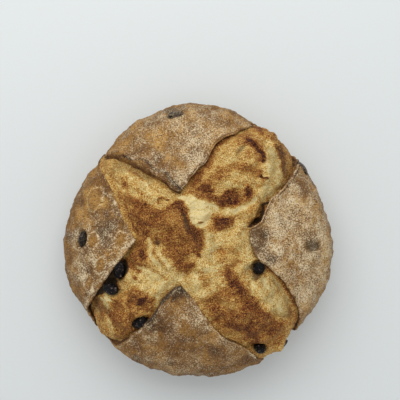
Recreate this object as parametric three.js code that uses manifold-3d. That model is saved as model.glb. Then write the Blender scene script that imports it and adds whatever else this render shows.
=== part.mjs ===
// A round sourdough loaf with raisins, cut with a cross before baking, so that four floured flaps
// of crust stand round a torn and lumpy bloom. Millimetres, +Z up, the foot on z = 0 and the middle
// of the loaf on the Z axis.
//
// A place on the loaf is [bearing, colatitude] in degrees. The bearing is counterclockwise from +X.
// The colatitude is 0 at the crown, 90 on the widest line, 150 at the rim of the foot and 180 at the
// middle of the underside. Unrolled, a place is a point whose distance from the origin is its
// colatitude, which is where outlines are drawn.

import * as THREE from "three";
import { mergeVertices } from "three/addons/utils/BufferGeometryUtils.js";
import Module from "manifold-3d";

// Driving dimensions of the dough
const WIDEST_RADIUS = 110;
const WIDEST_HEIGHT = 36;
const CROWN_HEIGHT = 84;
const FOOT_RADIUS = 84;
const FOOT_COLATITUDE = 150;
const DOME_FULLNESS = 2.3; // exponent of the dome's superellipse: 2 is an ellipse
const FLANK_FULLNESS = 2.1;
const OUTLINE_WAVES = [
  { count: 2, swell: 1.1, bearing: -84 },
  { count: 3, swell: 1.75, bearing: -26 },
  { count: 4, swell: 1.86, bearing: 1 },
];
const LOAF_SHIFT = new THREE.Vector3(-0.67, -1.44, 0); // brings the bounding box's middle onto the Z axis
const RELIEF_STARTS = 2; // height over the foot where relief starts, and where it is full
const RELIEF_FULL = 14;

// The cross cut: where its arms meet, where each arm ends, and the edges of the four flaps.
// A flap's side runs from its tip through these places to the end of its arm. The lip is how far the
// edge stands proud of the dough, and the gap how deep the bloom starts below it.
const CROSS_MIDDLE = [160, 6];
const ARM_ENDS = {
  northeast: [50, 107],
  northwest: [138.5, 84],
  southwest: [-138, 96],
  southeast: [-51, 106],
};
const FLAPS = [
  {
    tip: [14, 19.5],
    sides: [
      {
        arm: "southeast",
        through: [[-5, 20.8], [-17.6, 28.7], [-24, 42.3], [-34, 61], [-41, 80], [-45, 97]],
        lip: 2.4,
        gap: 4.2,
      },
      {
        arm: "northeast",
        through: [[21, 23], [28.8, 31.4], [33, 46.7], [37, 69], [40, 90]],
        lip: 2.4,
        gap: 4,
      },
    ],
  },
  {
    tip: [109, 19.4],
    sides: [
      {
        arm: "northeast",
        through: [[96.9, 23.4], [84.2, 32.2], [78.4, 44.1], [69.8, 56.6], [64, 74], [60, 93]],
        lip: 1.8,
        gap: 2.6,
      },
      {
        arm: "northwest",
        through: [[117.6, 29.4], [127.5, 47], [133, 64]],
        lip: 3.6,
        gap: 3.4,
      },
    ],
  },
  {
    tip: [176, 22.8],
    sides: [
      {
        arm: "northwest",
        through: [[163.9, 28.7], [153.6, 37.6], [146.4, 48.4], [142.5, 66]],
        lip: 0.8,
        gap: 0.9,
      },
      {
        arm: "southwest",
        through: [[-170.5, 28.9], [-161.7, 37.5], [-154.3, 50.4], [-149.5, 66], [-145, 83]],
        lip: 3,
        gap: 3.8,
      },
    ],
  },
  {
    tip: [-112.8, 15.6],
    sides: [
      {
        arm: "southwest",
        through: [[-119.6, 20.5], [-121.7, 32.2], [-126.2, 47.8], [-127.5, 66], [-130, 83]],
        lip: 1.8,
        gap: 3,
      },
      {
        arm: "southeast",
        through: [[-93.4, 18.9], [-80.9, 28.7], [-74.3, 39.8], [-65, 51.3], [-61, 72], [-58, 92]],
        lip: 0.8,
        gap: 1,
      },
    ],
  },
];
const LIP_RUN = 9; // distance over which a lip dies away into its flap
const GAP_RUN = 5.5; // distance over which the bloom climbs out of the gap
const BLOOM_SWELL = 2.5; // how far the bloom has risen past the old skin
const BLOOM_RUN = 11;
const EDGES_DIE_AFTER = 0.72; // share of a flap's side where its lip and gap start to fade

// Lumps and hollows: middle, half length, half width, run (degrees from +X, seen from above), rise.
const BLOOM_LUMPS = [
  { at: [65.8, 36], long: 31, wide: 17, run: 35, rise: 7 }, // pillow of the northeast arm
  { at: [72, 55], long: 11, wide: 4, run: 20, rise: -2.5 }, // hollow behind the pillow
  { at: [56.7, 65.9], long: 13, wide: 5, run: -50, rise: 3 }, // scorched arc
  { at: [60.5, 88], long: 6, wide: 5, run: 0, rise: 3.5 }, // knobs on the rim
  { at: [54, 86], long: 6, wide: 5, run: 0, rise: 3 },
  { at: [44.8, 62], long: 6, wide: 4.5, run: -55, rise: 2.2 }, // raisins under a film of dough
  { at: [50, 70], long: 5, wide: 4, run: 40, rise: 1.8 },
  { at: [118.8, 8], long: 24, wide: 11, run: -70, rise: 5.5 }, // ridge through the middle
  { at: [147, 24.6], long: 24, wide: 13, run: -35, rise: 4 }, // slab towards the west flap
  { at: [106, 7], long: 17, wide: 2.6, run: -67, rise: -3 }, // crease beside the ridge
  { at: [86, 13.6], long: 9, wide: 8, run: 0, rise: 3.5 }, // pale bulges
  { at: [77, 7.8], long: 8, wide: 6, run: -60, rise: 2 },
  { at: [-3, 9], long: 17, wide: 14, run: 60, rise: 4 }, // hump towards the east flap
  { at: [42, 11.7], long: 6, wide: 4.5, run: 0, rise: 2.2 },
  { at: [-50, 30.6], long: 32, wide: 17, run: -50, rise: 6.5 }, // pillow of the southeast arm
  { at: [-38, 40], long: 14, wide: 6, run: -45, rise: 2 },
  { at: [-156, 13.6], long: 14, wide: 10, run: -30, rise: 3 }, // pale fold of the southwest arm
  { at: [-174, 24], long: 11, wide: 6, run: -60, rise: 3 },
  { at: [-137, 28.5], long: 9, wide: 7, run: -20, rise: 3 },
  { at: [-134, 50], long: 16, wide: 11, run: 45, rise: 4 },
  { at: [133.4, 35.4], long: 16, wide: 6, run: 145, rise: 1.6 }, // fold of the northwest arm
  { at: [136.3, 62], long: 7, wide: 5, run: 120, rise: 2.2 },
];
const CRUST_LUMPS = [
  { at: [-3, 50.5], long: 9, wide: 7, run: 60, rise: 1.4 }, // raisins under the skin
  { at: [-168, 62], long: 8, wide: 6, run: 70, rise: 1.2 },
  { at: [75, 104], long: 7, wide: 5, run: 0, rise: 1.6 },
  { at: [-88, 108], long: 7, wide: 6, run: 0, rise: 1.6 },
  { at: [160, 100], long: 7, wide: 5, run: 90, rise: 1.6 },
  { at: [5, 112], long: 8, wide: 5, run: 90, rise: 1.6 },
];

// Crags of the torn bloom and the gentler waves of the crust: seeded plane waves, each with a crease
// where it crosses zero, of random direction and length.
const BLOOM_CRAGS = { seed: 11, waves: 12, shortest: 13, longest: 34, rise: 0.42 };
const CRUST_WAVES = { seed: 5, waves: 8, shortest: 34, longest: 90, rise: 0.22 };

// Raisins that show: place, half sizes along, across and out of the crust, run, and how far the
// middle stands out of the crust round it.
const RAISINS = [
  { at: [-20.8, 24.2], half: [5.2, 5, 4.6], run: 0, proud: 0.6 },
  { at: [-59, 61.5], half: [4.8, 4.5, 4.2], run: 20, proud: -0.4 },
  { at: [-161.8, 31.8], half: [7, 5.2, 4.6], run: 70, proud: 0.8 },
  { at: [-153, 40], half: [7, 5, 4.4], run: -35, proud: 0.4 },
  { at: [-126.2, 41.5], half: [7, 4.2, 4], run: 30, proud: 0.6 },
  { at: [35.6, 80], half: [7, 4.6, 4.2], run: 125, proud: -1.4 },
  { at: [-51, 77], half: [6.4, 4.6, 4.2], run: 40, proud: -1.2 },
  { at: [178, 54.6], half: [6.8, 4.2, 3.8], run: 85, proud: -1.8 },
  { at: [100, 66.5], half: [6.8, 4.2, 3.8], run: 10, proud: -2 },
];
const RAISIN_CLEARANCE = 0.35;
const RAISIN_DETAIL = 2; // icosahedron subdivisions
const RAISIN_DENTS = 0.12; // depth of the dents as a share of the half size

// Facets
const EDGE_STEPS = 15; // along each side of a flap
const BLOOM_STEPS = 9; // from the middle of an arm out to the edge
const SKIN_STEPS = 15; // from the edge of the cut down to the rim of the foot
const SKIN_CROWDING = 1.35; // above 1, the steps crowd towards the edge of the cut
const FOOT_STEPS = 3;
const WELD = 1e-3;

const radians = THREE.MathUtils.degToRad;
const smoothstep = THREE.MathUtils.smoothstep;

// The unrolled point of a place.
function unroll([bearing, colatitude]) {
  return new THREE.Vector2(colatitude, 0).rotateAround(new THREE.Vector2(), radians(bearing));
}

function outlineRadius(bearing) {
  const swell = OUTLINE_WAVES.map((w) => w.swell * Math.cos(w.count * (bearing - radians(w.bearing))));
  return swell.reduce((sum, s) => sum + s, WIDEST_RADIUS);
}

// One quarter of a superellipse: [across, up], from [0, 1] at turn 0 to [1, 0] at a quarter turn.
function quarter(turn, fullness) {
  const power = 2 / fullness;
  return [Math.max(0, Math.sin(turn)) ** power, Math.max(0, Math.cos(turn)) ** power];
}

// The smooth dough's surface at an unrolled point.
function doughPoint(place) {
  const colatitude = place.length();
  const bearing = Math.atan2(place.y, place.x);
  const reach = outlineRadius(bearing);
  let radius;
  let height;
  if (colatitude <= 90) {
    const [across, up] = quarter(radians(colatitude), DOME_FULLNESS);
    radius = reach * across;
    height = WIDEST_HEIGHT + (CROWN_HEIGHT - WIDEST_HEIGHT) * up;
  } else if (colatitude < FOOT_COLATITUDE) {
    const share = (colatitude - 90) / (FOOT_COLATITUDE - 90);
    const [down, out] = quarter(radians(90 * share), FLANK_FULLNESS);
    radius = FOOT_RADIUS + (reach - FOOT_RADIUS) * out;
    height = WIDEST_HEIGHT * (1 - down);
  } else {
    radius = (FOOT_RADIUS * (180 - colatitude)) / (180 - FOOT_COLATITUDE);
    height = 0;
  }
  const flat = new THREE.Vector3(radius * Math.cos(bearing), radius * Math.sin(bearing), height);
  return flat.add(LOAF_SHIFT);
}

// The outward normal of the smooth dough at an unrolled point.
function doughNormal(place) {
  const step = 0.4;
  const slope = (x, y) => {
    const ahead = doughPoint(new THREE.Vector2(place.x + x, place.y + y));
    return ahead.sub(doughPoint(new THREE.Vector2(place.x - x, place.y - y)));
  };
  return slope(step, 0).cross(slope(0, step)).normalize();
}

// A smooth unrolled curve through places, as count + 1 evenly spaced points.
function curveThrough(places, count) {
  const points = places.map((place) => {
    const { x, y } = unroll(place);
    return new THREE.Vector3(x, y, 0);
  });
  const curve = new THREE.CatmullRomCurve3(points, false, "centripetal");
  return curve.getSpacedPoints(count).map((p) => new THREE.Vector2(p.x, p.y));
}

// The sides of the four flaps, from tip to arm end, each with its samples of the edge.
function cutSides() {
  return FLAPS.flatMap(({ tip, sides }) =>
    sides.map(({ arm, through, lip, gap }) => {
      const edge = curveThrough([tip, ...through, ARM_ENDS[arm]], EDGE_STEPS);
      const middle = curveThrough([CROSS_MIDDLE, ARM_ENDS[arm]], EDGE_STEPS);
      return { edge, middle, lip, gap };
    }),
  );
}

const SIDES = cutSides();

// The edges' samples on the dough, with the lip and gap there.
const EDGE_SAMPLES = SIDES.flatMap(({ edge, lip, gap }) =>
  edge.map((place, i) => {
    const fade = 1 - smoothstep(i / EDGE_STEPS, EDGES_DIE_AFTER, 1);
    return { point: doughPoint(place), lip: lip * fade, gap: gap * fade };
  }),
);

// How far a point is from the cut's edge, with the lip and gap of the nearest sample.
function nearestEdge(point) {
  let nearest = { distance: Infinity, lip: 0, gap: 0 };
  for (const { point: sample, lip, gap } of EDGE_SAMPLES) {
    const distance = sample.distanceTo(point);
    if (distance < nearest.distance) nearest = { distance, lip, gap };
  }
  return nearest;
}

// The frame of a feature at a place: its point, outward normal, run and the direction across it.
function frameAt(at, run) {
  const place = unroll(at);
  const out = doughNormal(place);
  const along = new THREE.Vector3(Math.cos(radians(run)), Math.sin(radians(run)), 0);
  along.addScaledVector(out, -along.dot(out)).normalize();
  return { point: doughPoint(place), along, across: out.clone().cross(along), out };
}

function placedLumps(lumps) {
  return lumps.map((lump) => ({ ...lump, frame: frameAt(lump.at, lump.run) }));
}

const PLACED_BLOOM_LUMPS = placedLumps(BLOOM_LUMPS);
const PLACED_CRUST_LUMPS = placedLumps(CRUST_LUMPS);

// The rise that lumps give a point of the dough: flat-topped mounds that fade past their half sizes.
function lumpRise(point, lumps) {
  return lumps.reduce((sum, { frame, long, wide, rise }) => {
    const offset = point.clone().sub(frame.point);
    const reach = Math.hypot(offset.dot(frame.along) / long, offset.dot(frame.across) / wide);
    return sum + rise * Math.exp(-(reach ** 3));
  }, 0);
}

// Random numbers from 0 to 1 that the seed fixes.
function seededRandom(seed) {
  let state = seed;
  return () => {
    state = (state * 1664525 + 1013904223) % 4294967296;
    return state / 4294967296;
  };
}

function placedWaves({ seed, waves, shortest, longest, rise }) {
  const random = seededRandom(seed);
  return Array.from({ length: waves }, () => {
    const tilt = 2 * random() - 1;
    const turn = 2 * Math.PI * random();
    const flat = Math.sqrt(1 - tilt * tilt);
    const across = new THREE.Vector3(flat * Math.cos(turn), flat * Math.sin(turn), tilt);
    across.multiplyScalar((2 * Math.PI) / THREE.MathUtils.lerp(shortest, longest, random()));
    return { across, shift: 2 * Math.PI * random(), rise };
  });
}

const PLACED_CRAGS = placedWaves(BLOOM_CRAGS);
const PLACED_WAVES = placedWaves(CRUST_WAVES);

// The rise that waves give a point. A creased wave is a row of rounded ridges with sharp valleys.
function waveRise(point, waves, creased) {
  return waves.reduce((sum, { across, shift, rise }) => {
    const wave = Math.sin(point.dot(across) + shift);
    return sum + rise * (creased ? 2 * Math.abs(wave) - 1.27 : wave);
  }, 0);
}

function fadeAtFoot(point) {
  return smoothstep(point.z, RELIEF_STARTS, RELIEF_FULL);
}

// A point of the bloom's surface.
function bloomPoint(place) {
  const point = doughPoint(place);
  const { distance, gap } = nearestEdge(point);
  const swell = BLOOM_SWELL * (1 - Math.exp(-((distance / BLOOM_RUN) ** 2)));
  const sink = gap * Math.exp(-((distance / GAP_RUN) ** 2));
  const lumps = lumpRise(point, PLACED_BLOOM_LUMPS) + waveRise(point, PLACED_CRAGS, true);
  const rise = (swell + lumps * (1 - Math.exp(-distance / GAP_RUN)) - sink) * fadeAtFoot(point);
  return point.addScaledVector(doughNormal(place), rise);
}

// A point of the crust's surface.
function crustPoint(place) {
  const point = doughPoint(place);
  const { distance, lip } = nearestEdge(point);
  const lumps = lumpRise(point, PLACED_CRUST_LUMPS) + waveRise(point, PLACED_WAVES, false);
  const rise = lip * Math.exp(-distance / LIP_RUN) + lumps;
  return point.addScaledVector(doughNormal(place), rise * fadeAtFoot(point));
}

// Quads between rows of points, each split along the same diagonal. turned swaps the facing.
function sheet(rows, turned) {
  const positions = [];
  for (let r = 0; r + 1 < rows.length; r++) {
    for (let c = 0; c + 1 < rows[r].length; c++) {
      const [a, b] = [rows[r][c], rows[r][c + 1]];
      const [d, e] = [rows[r + 1][c], rows[r + 1][c + 1]];
      const corners = turned ? [a, e, b, a, d, e] : [a, b, e, a, e, d];
      positions.push(...corners.flatMap((p) => p.toArray()));
    }
  }
  return positions;
}

// The steps from 0 to 1, crowded towards 0.
function steps(count, crowding = 1) {
  return Array.from({ length: count + 1 }, (_, i) => (i / count) ** crowding);
}

// The bloom between one side's edge and the middle of its arm.
function bloomSheet({ edge, middle }, turned) {
  const rows = steps(BLOOM_STEPS).map((t) =>
    edge.map((place, i) => bloomPoint(middle[i].clone().lerp(place, t))),
  );
  return sheet(rows, turned);
}

// The torn wall between the bloom's edge and the lip, and the crust from the lip to the foot's rim
// and on to the middle of the underside.
function crustSheet({ edge, middle }, tipBearing, armBearing, turned) {
  const rims = edge.map((_, i) => {
    const bearing = THREE.MathUtils.lerp(tipBearing, armBearing, i / EDGE_STEPS);
    return unroll([bearing, FOOT_COLATITUDE]);
  });
  const bloomEdge = edge.map((place, i) => bloomPoint(middle[i].clone().lerp(place, 1)));
  const crust = steps(SKIN_STEPS, SKIN_CROWDING).map((t) =>
    edge.map((place, i) => crustPoint(place.clone().lerp(rims[i], t))),
  );
  const foot = steps(FOOT_STEPS).map((t) =>
    rims.map((rim) => doughPoint(rim.clone().setLength(FOOT_COLATITUDE + (180 - FOOT_COLATITUDE) * t))),
  );
  return sheet([bloomEdge, ...crust, ...foot.slice(1)], turned);
}

// The bearing in degrees of the end of each arm round a flap, and of the foot below the flap's tip.
function flapBearings(flap) {
  const tip = flap.tip[0];
  const arms = flap.sides.map(({ arm }) => {
    const bearing = ARM_ENDS[arm][0];
    return tip + THREE.MathUtils.euclideanModulo(bearing - tip + 180, 360) - 180;
  });
  return { arms, foot: (arms[0] + arms[1]) / 2 };
}

// All the loaf's triangles, three coordinates a corner.
function loafTriangles() {
  return FLAPS.flatMap((flap, f) => {
    const { arms, foot } = flapBearings(flap);
    return flap.sides.flatMap((_, s) => {
      const side = SIDES[2 * f + s];
      const turned = arms[s] > foot;
      return [...bloomSheet(side, turned), ...crustSheet(side, foot, arms[s], turned)];
    });
  });
}

const wasm = await Module();
wasm.setup();

// A solid from loose triangles: corners welded, and triangles that have closed up left out.
function solidOf(positions) {
  const loose = new THREE.BufferGeometry();
  loose.setAttribute("position", new THREE.Float32BufferAttribute(positions, 3));
  const welded = mergeVertices(loose, WELD);
  const corners = [];
  for (let i = 0; i < welded.index.count; i += 3) {
    const [a, b, c] = [0, 1, 2].map((k) => welded.index.getX(i + k));
    if (a !== b && b !== c && c !== a) corners.push(a, b, c);
  }
  return new wasm.Manifold(
    new wasm.Mesh({
      numProp: 3,
      vertProperties: welded.attributes.position.array,
      triVerts: new Uint32Array(corners),
    }),
  );
}

// The largest body of a solid, as a geometry.
function geometryOf(solid) {
  const [body] = solid.decompose().sort((a, b) => b.volume() - a.volume());
  const { vertProperties, triVerts, numProp, numVert } = body.getMesh();
  const positions = new Float32Array(numVert * 3);
  for (let i = 0; i < numVert; i++) {
    positions.set(vertProperties.subarray(i * numProp, i * numProp + 3), i * 3);
  }
  const geometry = new THREE.BufferGeometry();
  geometry.setAttribute("position", new THREE.BufferAttribute(positions, 3));
  geometry.setIndex(new THREE.BufferAttribute(triVerts, 1));
  return geometry;
}

// The side of the cut that a place on the loaf is on decides which surface a raisin sits in.
function surfaceUnder(at) {
  const place = unroll(at);
  const inBloom = SIDES.some(({ edge, middle }) => {
    const outline = [...edge, ...middle.slice().reverse()];
    let inside = false;
    outline.forEach((a, i) => {
      const b = outline[(i + 1) % outline.length];
      const crosses = a.y > place.y !== b.y > place.y;
      if (crosses && place.x < ((b.x - a.x) * (place.y - a.y)) / (b.y - a.y) + a.x) inside = !inside;
    });
    return inside;
  });
  return inBloom ? bloomPoint(place) : crustPoint(place);
}

// The loose triangles of one raisin, a dented egg grown by a clearance.
function raisinTriangles({ at, half, run, proud }, seed, clearance) {
  const { along, across, out } = frameAt(at, run);
  const middle = surfaceUnder(at).addScaledVector(out, proud);
  const ball = new THREE.IcosahedronGeometry(1, RAISIN_DETAIL).getAttribute("position");
  const triangles = [];
  for (let i = 0; i < ball.count; i++) {
    const unit = new THREE.Vector3().fromBufferAttribute(ball, i);
    const folds = Math.abs(Math.sin(4 * unit.x + 3 * unit.z + seed) * Math.cos(4 * unit.y - seed));
    const [a, b, c] = half.map((size) => size * (1 - RAISIN_DENTS * folds) + clearance);
    const corner = middle.clone();
    corner.addScaledVector(along, a * unit.x);
    corner.addScaledVector(across, b * unit.y);
    corner.addScaledVector(out, c * unit.z);
    triangles.push(...corner.toArray());
  }
  return triangles;
}

const crustMaterial = new THREE.MeshStandardMaterial({ color: "#b08a58", roughness: 0.85, metalness: 0 });
const raisinMaterial = new THREE.MeshStandardMaterial({ color: "#221c20", roughness: 0.4, metalness: 0 });

function named(name, solid, material) {
  const mesh = new THREE.Mesh(geometryOf(solid), material);
  mesh.name = name;
  return mesh;
}

const loaf = new THREE.Group();
let dough = solidOf(loafTriangles());
RAISINS.forEach((raisin, i) => {
  dough = dough.subtract(solidOf(raisinTriangles(raisin, i, RAISIN_CLEARANCE)));
  loaf.add(named(`raisin_${i + 1}`, solidOf(raisinTriangles(raisin, i, 0)), raisinMaterial));
});
loaf.add(named("loaf", dough, crustMaterial));

export default loaf;
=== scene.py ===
"""A round sourdough loaf with raisins: four flaps of floured crust round a torn bloom.

The loaf was proved in a basket, turned out, floured, cut with a cross and baked on the oven floor.
The bloom that tore open along the cut is one piece, and the crust with its lips, sides and base
another, so that the lips can stand over the bloom with a shadow under them. Each raisin is its own
piece. Sizes are in millimetres until a mesh is made, and places on the loaf are a bearing
(degrees counterclockwise from +X) and a colatitude (0 at the crown, 90 on the widest line, 150 at
the rim of the base, 180 at its middle).
"""

import logging
import math
from dataclasses import dataclass, field
from enum import Enum
from itertools import product

import bpy
import numpy as np
from mathutils.kdtree import KDTree
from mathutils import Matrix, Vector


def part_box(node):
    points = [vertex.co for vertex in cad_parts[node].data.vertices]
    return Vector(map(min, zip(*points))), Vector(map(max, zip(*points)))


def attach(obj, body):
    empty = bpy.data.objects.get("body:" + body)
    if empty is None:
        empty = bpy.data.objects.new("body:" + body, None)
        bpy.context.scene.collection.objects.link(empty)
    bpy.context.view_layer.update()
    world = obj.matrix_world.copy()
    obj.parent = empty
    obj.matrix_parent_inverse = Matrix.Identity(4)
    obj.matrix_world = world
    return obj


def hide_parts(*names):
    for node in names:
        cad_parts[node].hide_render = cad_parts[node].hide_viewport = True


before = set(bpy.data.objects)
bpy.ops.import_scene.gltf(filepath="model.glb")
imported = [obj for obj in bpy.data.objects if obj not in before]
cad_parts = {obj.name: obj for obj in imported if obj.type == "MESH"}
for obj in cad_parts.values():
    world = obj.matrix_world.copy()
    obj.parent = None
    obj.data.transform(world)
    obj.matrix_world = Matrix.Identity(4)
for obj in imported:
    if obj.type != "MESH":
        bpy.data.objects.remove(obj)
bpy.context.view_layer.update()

MM = 0.001
Place = tuple[float, float]
Array = np.ndarray
Socket = bpy.types.NodeSocket
log = logging.getLogger("loaf")

# Heights in mm between which relief sets in above the flat base
RELIEF_HEIGHTS = (2.0, 14.0)

# Numbers that scatter the noise
CELL_PRIMES = np.array((73856093, 19349663, 83492791))
SEED_PRIME = 2654435761
MIXERS = (1274126177, 2246822519)
LOW_BITS = 0xFFFFFFFF
HALF_SPAN = 2**31
CELLS_PER_SEED = 17.3
GRAIN_REACH = 1.3
RIDGE_SEED_STEP = 31
RIDGE_REACH = 1.75

# Numbers that draw the plane waves
DRAW_FACTOR = 1664525
DRAW_STEP = 1013904223
DRAW_SPAN = 4294967296
CREASE_MEAN = 1.27


# Shared functions


def smoothstep(value: Array, low: float, high: float) -> Array:
    """Eases from 0 at low to 1 at high."""
    share = np.clip((value - low) / (high - low), 0.0, 1.0)
    return share * share * (3.0 - 2.0 * share)


def lowness(points: Array, high: float, low: float) -> Array:
    """How far down the loaf points lie: 0 above one height in mm, and 1 below another."""
    return smoothstep(-points[:, 2], -high, -low)


def clear_of_base(points: Array) -> Array:
    """The share of the relief that points keep, so that the base stays flat."""
    return smoothstep(points[:, 2], *RELIEF_HEIGHTS)


def unrolled(places: Array) -> Array:
    """Turns (bearing, colatitude) pairs into points as far from the origin as the colatitude."""
    turn = np.radians(places[..., 0])
    return places[..., 1:2] * np.stack([np.cos(turn), np.sin(turn)], axis=-1)


def unit(vectors: Array) -> Array:
    """Scales vectors to length 1."""
    return vectors / np.maximum(np.linalg.norm(vectors, axis=-1, keepdims=True), 1e-12)


def grain(points: Array, size: float, seed: int, octaves: int = 1) -> Array:
    """Smooth random noise through space, from about -1 to 1.

    Args:
        points: places in mm, three columns.
        size: the width in mm of the largest lumps.
        seed: gives another noise of the same kind.
        octaves: how many sizes of lump there are, each half as wide and as strong as the last.

    Returns:
        One value a point.
    """
    total = np.zeros(len(points))
    strength = 1.0
    for octave in range(octaves):
        cells = points / (size * 0.5**octave) + CELLS_PER_SEED * (seed + octave)
        base = np.floor(cells).astype(np.int64)
        part = cells - base
        ease = part * part * part * (part * (part * 6.0 - 15.0) + 10.0)
        for corner in product((0, 1), repeat=3):
            x, y, z = ((base + corner) * CELL_PRIMES).T
            mixed = x ^ y ^ z ^ ((seed + octave) * SEED_PRIME)
            mixed = (mixed ^ (mixed >> 13)) * MIXERS[0] & LOW_BITS
            mixed = (mixed ^ (mixed >> 16)) * MIXERS[1] & LOW_BITS
            weight = np.prod(np.where(corner, ease, 1.0 - ease), axis=1)
            total += strength * weight * (mixed / HALF_SPAN - 1.0)
        strength *= 0.5
    return total * GRAIN_REACH


def ridges(points: Array, size: float, seed: int, octaves: int = 2) -> Array:
    """Noise with sharp crests, as torn dough has.

    Args:
        points: places in mm, three columns.
        size: the width in mm of the largest crests.
        seed: gives another noise of the same kind.
        octaves: how many sizes of crest there are, each half as wide and as strong as the last.

    Returns:
        One value a point, from 0 in the hollows to about 1 on the crests.
    """
    total = np.zeros(len(points))
    strength = 1.0
    for octave in range(octaves):
        lumps = grain(points, size * 0.5**octave, seed + RIDGE_SEED_STEP * octave)
        total += strength * (1.0 - np.abs(lumps))
        strength *= 0.5
    return total / RIDGE_REACH


def around(values: Array, reach: int) -> Array:
    """Smooths values along a closed line of samples.

    Args:
        values: one row a sample.
        reach: how many samples to each side take part.

    Returns:
        The smoothed values.
    """
    weights = np.hanning(2 * reach + 3)[1:-1]
    total = sum(w * np.roll(values, i - reach, axis=0) for i, w in enumerate(weights))
    return total / weights.sum()


@dataclass(frozen=True)
class Noise:
    """Random lumps that shape, move or tone the surface.

    Attributes:
        strength: their strength, in mm where they shape or move, or else as a share.
        size: the width in mm of the largest lumps.
        seed: gives another noise of the same kind.
        octaves: how many sizes of lump there are, each half as wide and as strong as the last.
    """

    strength: float
    size: float
    seed: int
    octaves: int = 1

    def at(self, points: Array) -> Array:
        """The noise at points, from about minus its strength to its strength."""
        return self.strength * grain(points, self.size, self.seed, self.octaves)

    def moved(self, points: Array) -> Array:
        """Points moved at random by up to about the strength, so that painted edges wander."""
        drifts = [grain(points, self.size, self.seed + i, self.octaves) for i in range(3)]
        return points + self.strength * np.stack(drifts, axis=-1)


# The dough


@dataclass(frozen=True)
class DoughForm:
    """The smooth form of the proved dough, before the cut opens.

    Attributes:
        widest_radius: mean radius of the widest line.
        widest_height: height of the widest line.
        crown_height: height of the crown.
        foot_radius: radius of the rim of the base.
        foot_colatitude: colatitude of that rim.
        dome_fullness: how full the dome's profile is, where 2 is an ellipse.
        flank_fullness: how full the profile below the widest line is.
        outline_waves: the outline's waves, each with its count, height and a crest's bearing.
        shift: how far the middle of the loaf lies from the origin.
        rim_rises: bumps and hollows of the sides, each with its bearing, half width in degrees
            and rise.
        rim_sink: the sides' rise between those.
        rim_heights: heights between which the bumps of the sides fade in downwards.
        rim_noise: small unevenness of the sides.
        form_noise: unevenness of the whole dough.
        slope_step: half the step in degrees over which a slope is taken.
    """

    widest_radius: float = 110.0
    widest_height: float = 36.0
    crown_height: float = 84.0
    foot_radius: float = 84.0
    foot_colatitude: float = 150.0
    dome_fullness: float = 2.3
    flank_fullness: float = 2.1
    outline_waves: tuple[tuple[int, float, float], ...] = (
        (2, 1.1, -84.0),
        (3, 1.75, -26.0),
        (4, 1.86, 1.0),
    )
    shift: Place = (-0.67, -1.44)
    rim_rises: tuple[tuple[float, float, float], ...] = (
        (18.0, 4.0, 1.6),
        (66.0, 4.5, -3.0),
        (116.0, 4.0, 1.0),
        (141.0, 6.0, -2.2),
        (192.0, 3.0, 1.2),
        (214.0, 7.0, -3.2),
        (245.0, 7.0, 2.0),
        (297.0, 5.0, 3.2),
        (315.0, 4.5, -2.8),
        (343.0, 5.0, 3.0),
    )
    rim_sink: float = -0.6
    rim_heights: Place = (66.0, 44.0)
    rim_noise: Noise = Noise(0.5, 5.0, 137, 2)
    form_noise: Noise = Noise(0.9, 17.0, 131, 2)
    slope_step: float = 0.4

    def reach(self, bearing: Array) -> Array:
        """The radius of the widest line at a bearing in radians."""
        waves = (s * np.cos(n * (bearing - math.radians(b))) for n, s, b in self.outline_waves)
        return self.widest_radius + sum(waves)

    def points(self, spots: Array) -> Array:
        """The dough's surface.

        Args:
            spots: unrolled points.

        Returns:
            The points on the surface in mm.
        """
        colatitude = np.linalg.norm(spots, axis=-1)
        bearing = np.arctan2(spots[..., 1], spots[..., 0])
        reach = self.reach(bearing)
        turn = np.radians(np.clip(colatitude, 0.0, 90.0))
        across = np.clip(np.sin(turn), 0.0, 1.0) ** (2.0 / self.dome_fullness)
        up = np.clip(np.cos(turn), 0.0, 1.0) ** (2.0 / self.dome_fullness)
        below = (colatitude - 90.0) / (self.foot_colatitude - 90.0)
        turn = np.clip(below, 0.0, 1.0) * math.pi / 2.0
        down = np.clip(np.sin(turn), 0.0, 1.0) ** (2.0 / self.flank_fullness)
        out = np.clip(np.cos(turn), 0.0, 1.0) ** (2.0 / self.flank_fullness)
        flank = self.foot_radius + (reach - self.foot_radius) * out
        radius = np.where(below > 0.0, flank, reach * across)
        dome = self.widest_height + (self.crown_height - self.widest_height) * up
        height = np.where(below > 0.0, self.widest_height * (1.0 - down), dome)
        inner = np.clip((180.0 - colatitude) / (180.0 - self.foot_colatitude), 0.0, 1.0)
        radius = np.where(below >= 1.0, self.foot_radius * inner, radius)
        x = radius * np.cos(bearing) + self.shift[0]
        y = radius * np.sin(bearing) + self.shift[1]
        return np.stack([x, y, height], axis=-1)

    def unevenness(self, points: Array) -> Array:
        """The small rises and hollows of the whole dough.

        Args:
            points: points of the dough in mm.

        Returns:
            The rise in mm at each point.
        """
        bearing = np.arctan2(points[:, 1] - self.shift[1], points[:, 0] - self.shift[0])
        bearing = np.degrees(bearing)
        rim = np.full(len(points), self.rim_sink)
        for middle, width, rise in self.rim_rises:
            away = (bearing - middle + 180.0) % 360.0 - 180.0
            rim += rise * np.exp(-((away / width) ** 2))
        rim += self.rim_noise.at(points)
        return self.form_noise.at(points) + rim * lowness(points, *self.rim_heights)

    def slopes(self, spots: Array, along: Array) -> Array:
        """How the surface runs, as unit vectors, when unrolled points move along a direction."""
        step = self.slope_step * along
        return unit(self.points(spots + step) - self.points(spots - step))

    def normals(self, spots: Array) -> Array:
        """The outward normals of the dough at unrolled points."""
        east = self.slopes(spots, np.array([1.0, 0.0]))
        north = self.slopes(spots, np.array([0.0, 1.0]))
        return unit(np.cross(east, north))


DOUGH = DoughForm()


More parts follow.
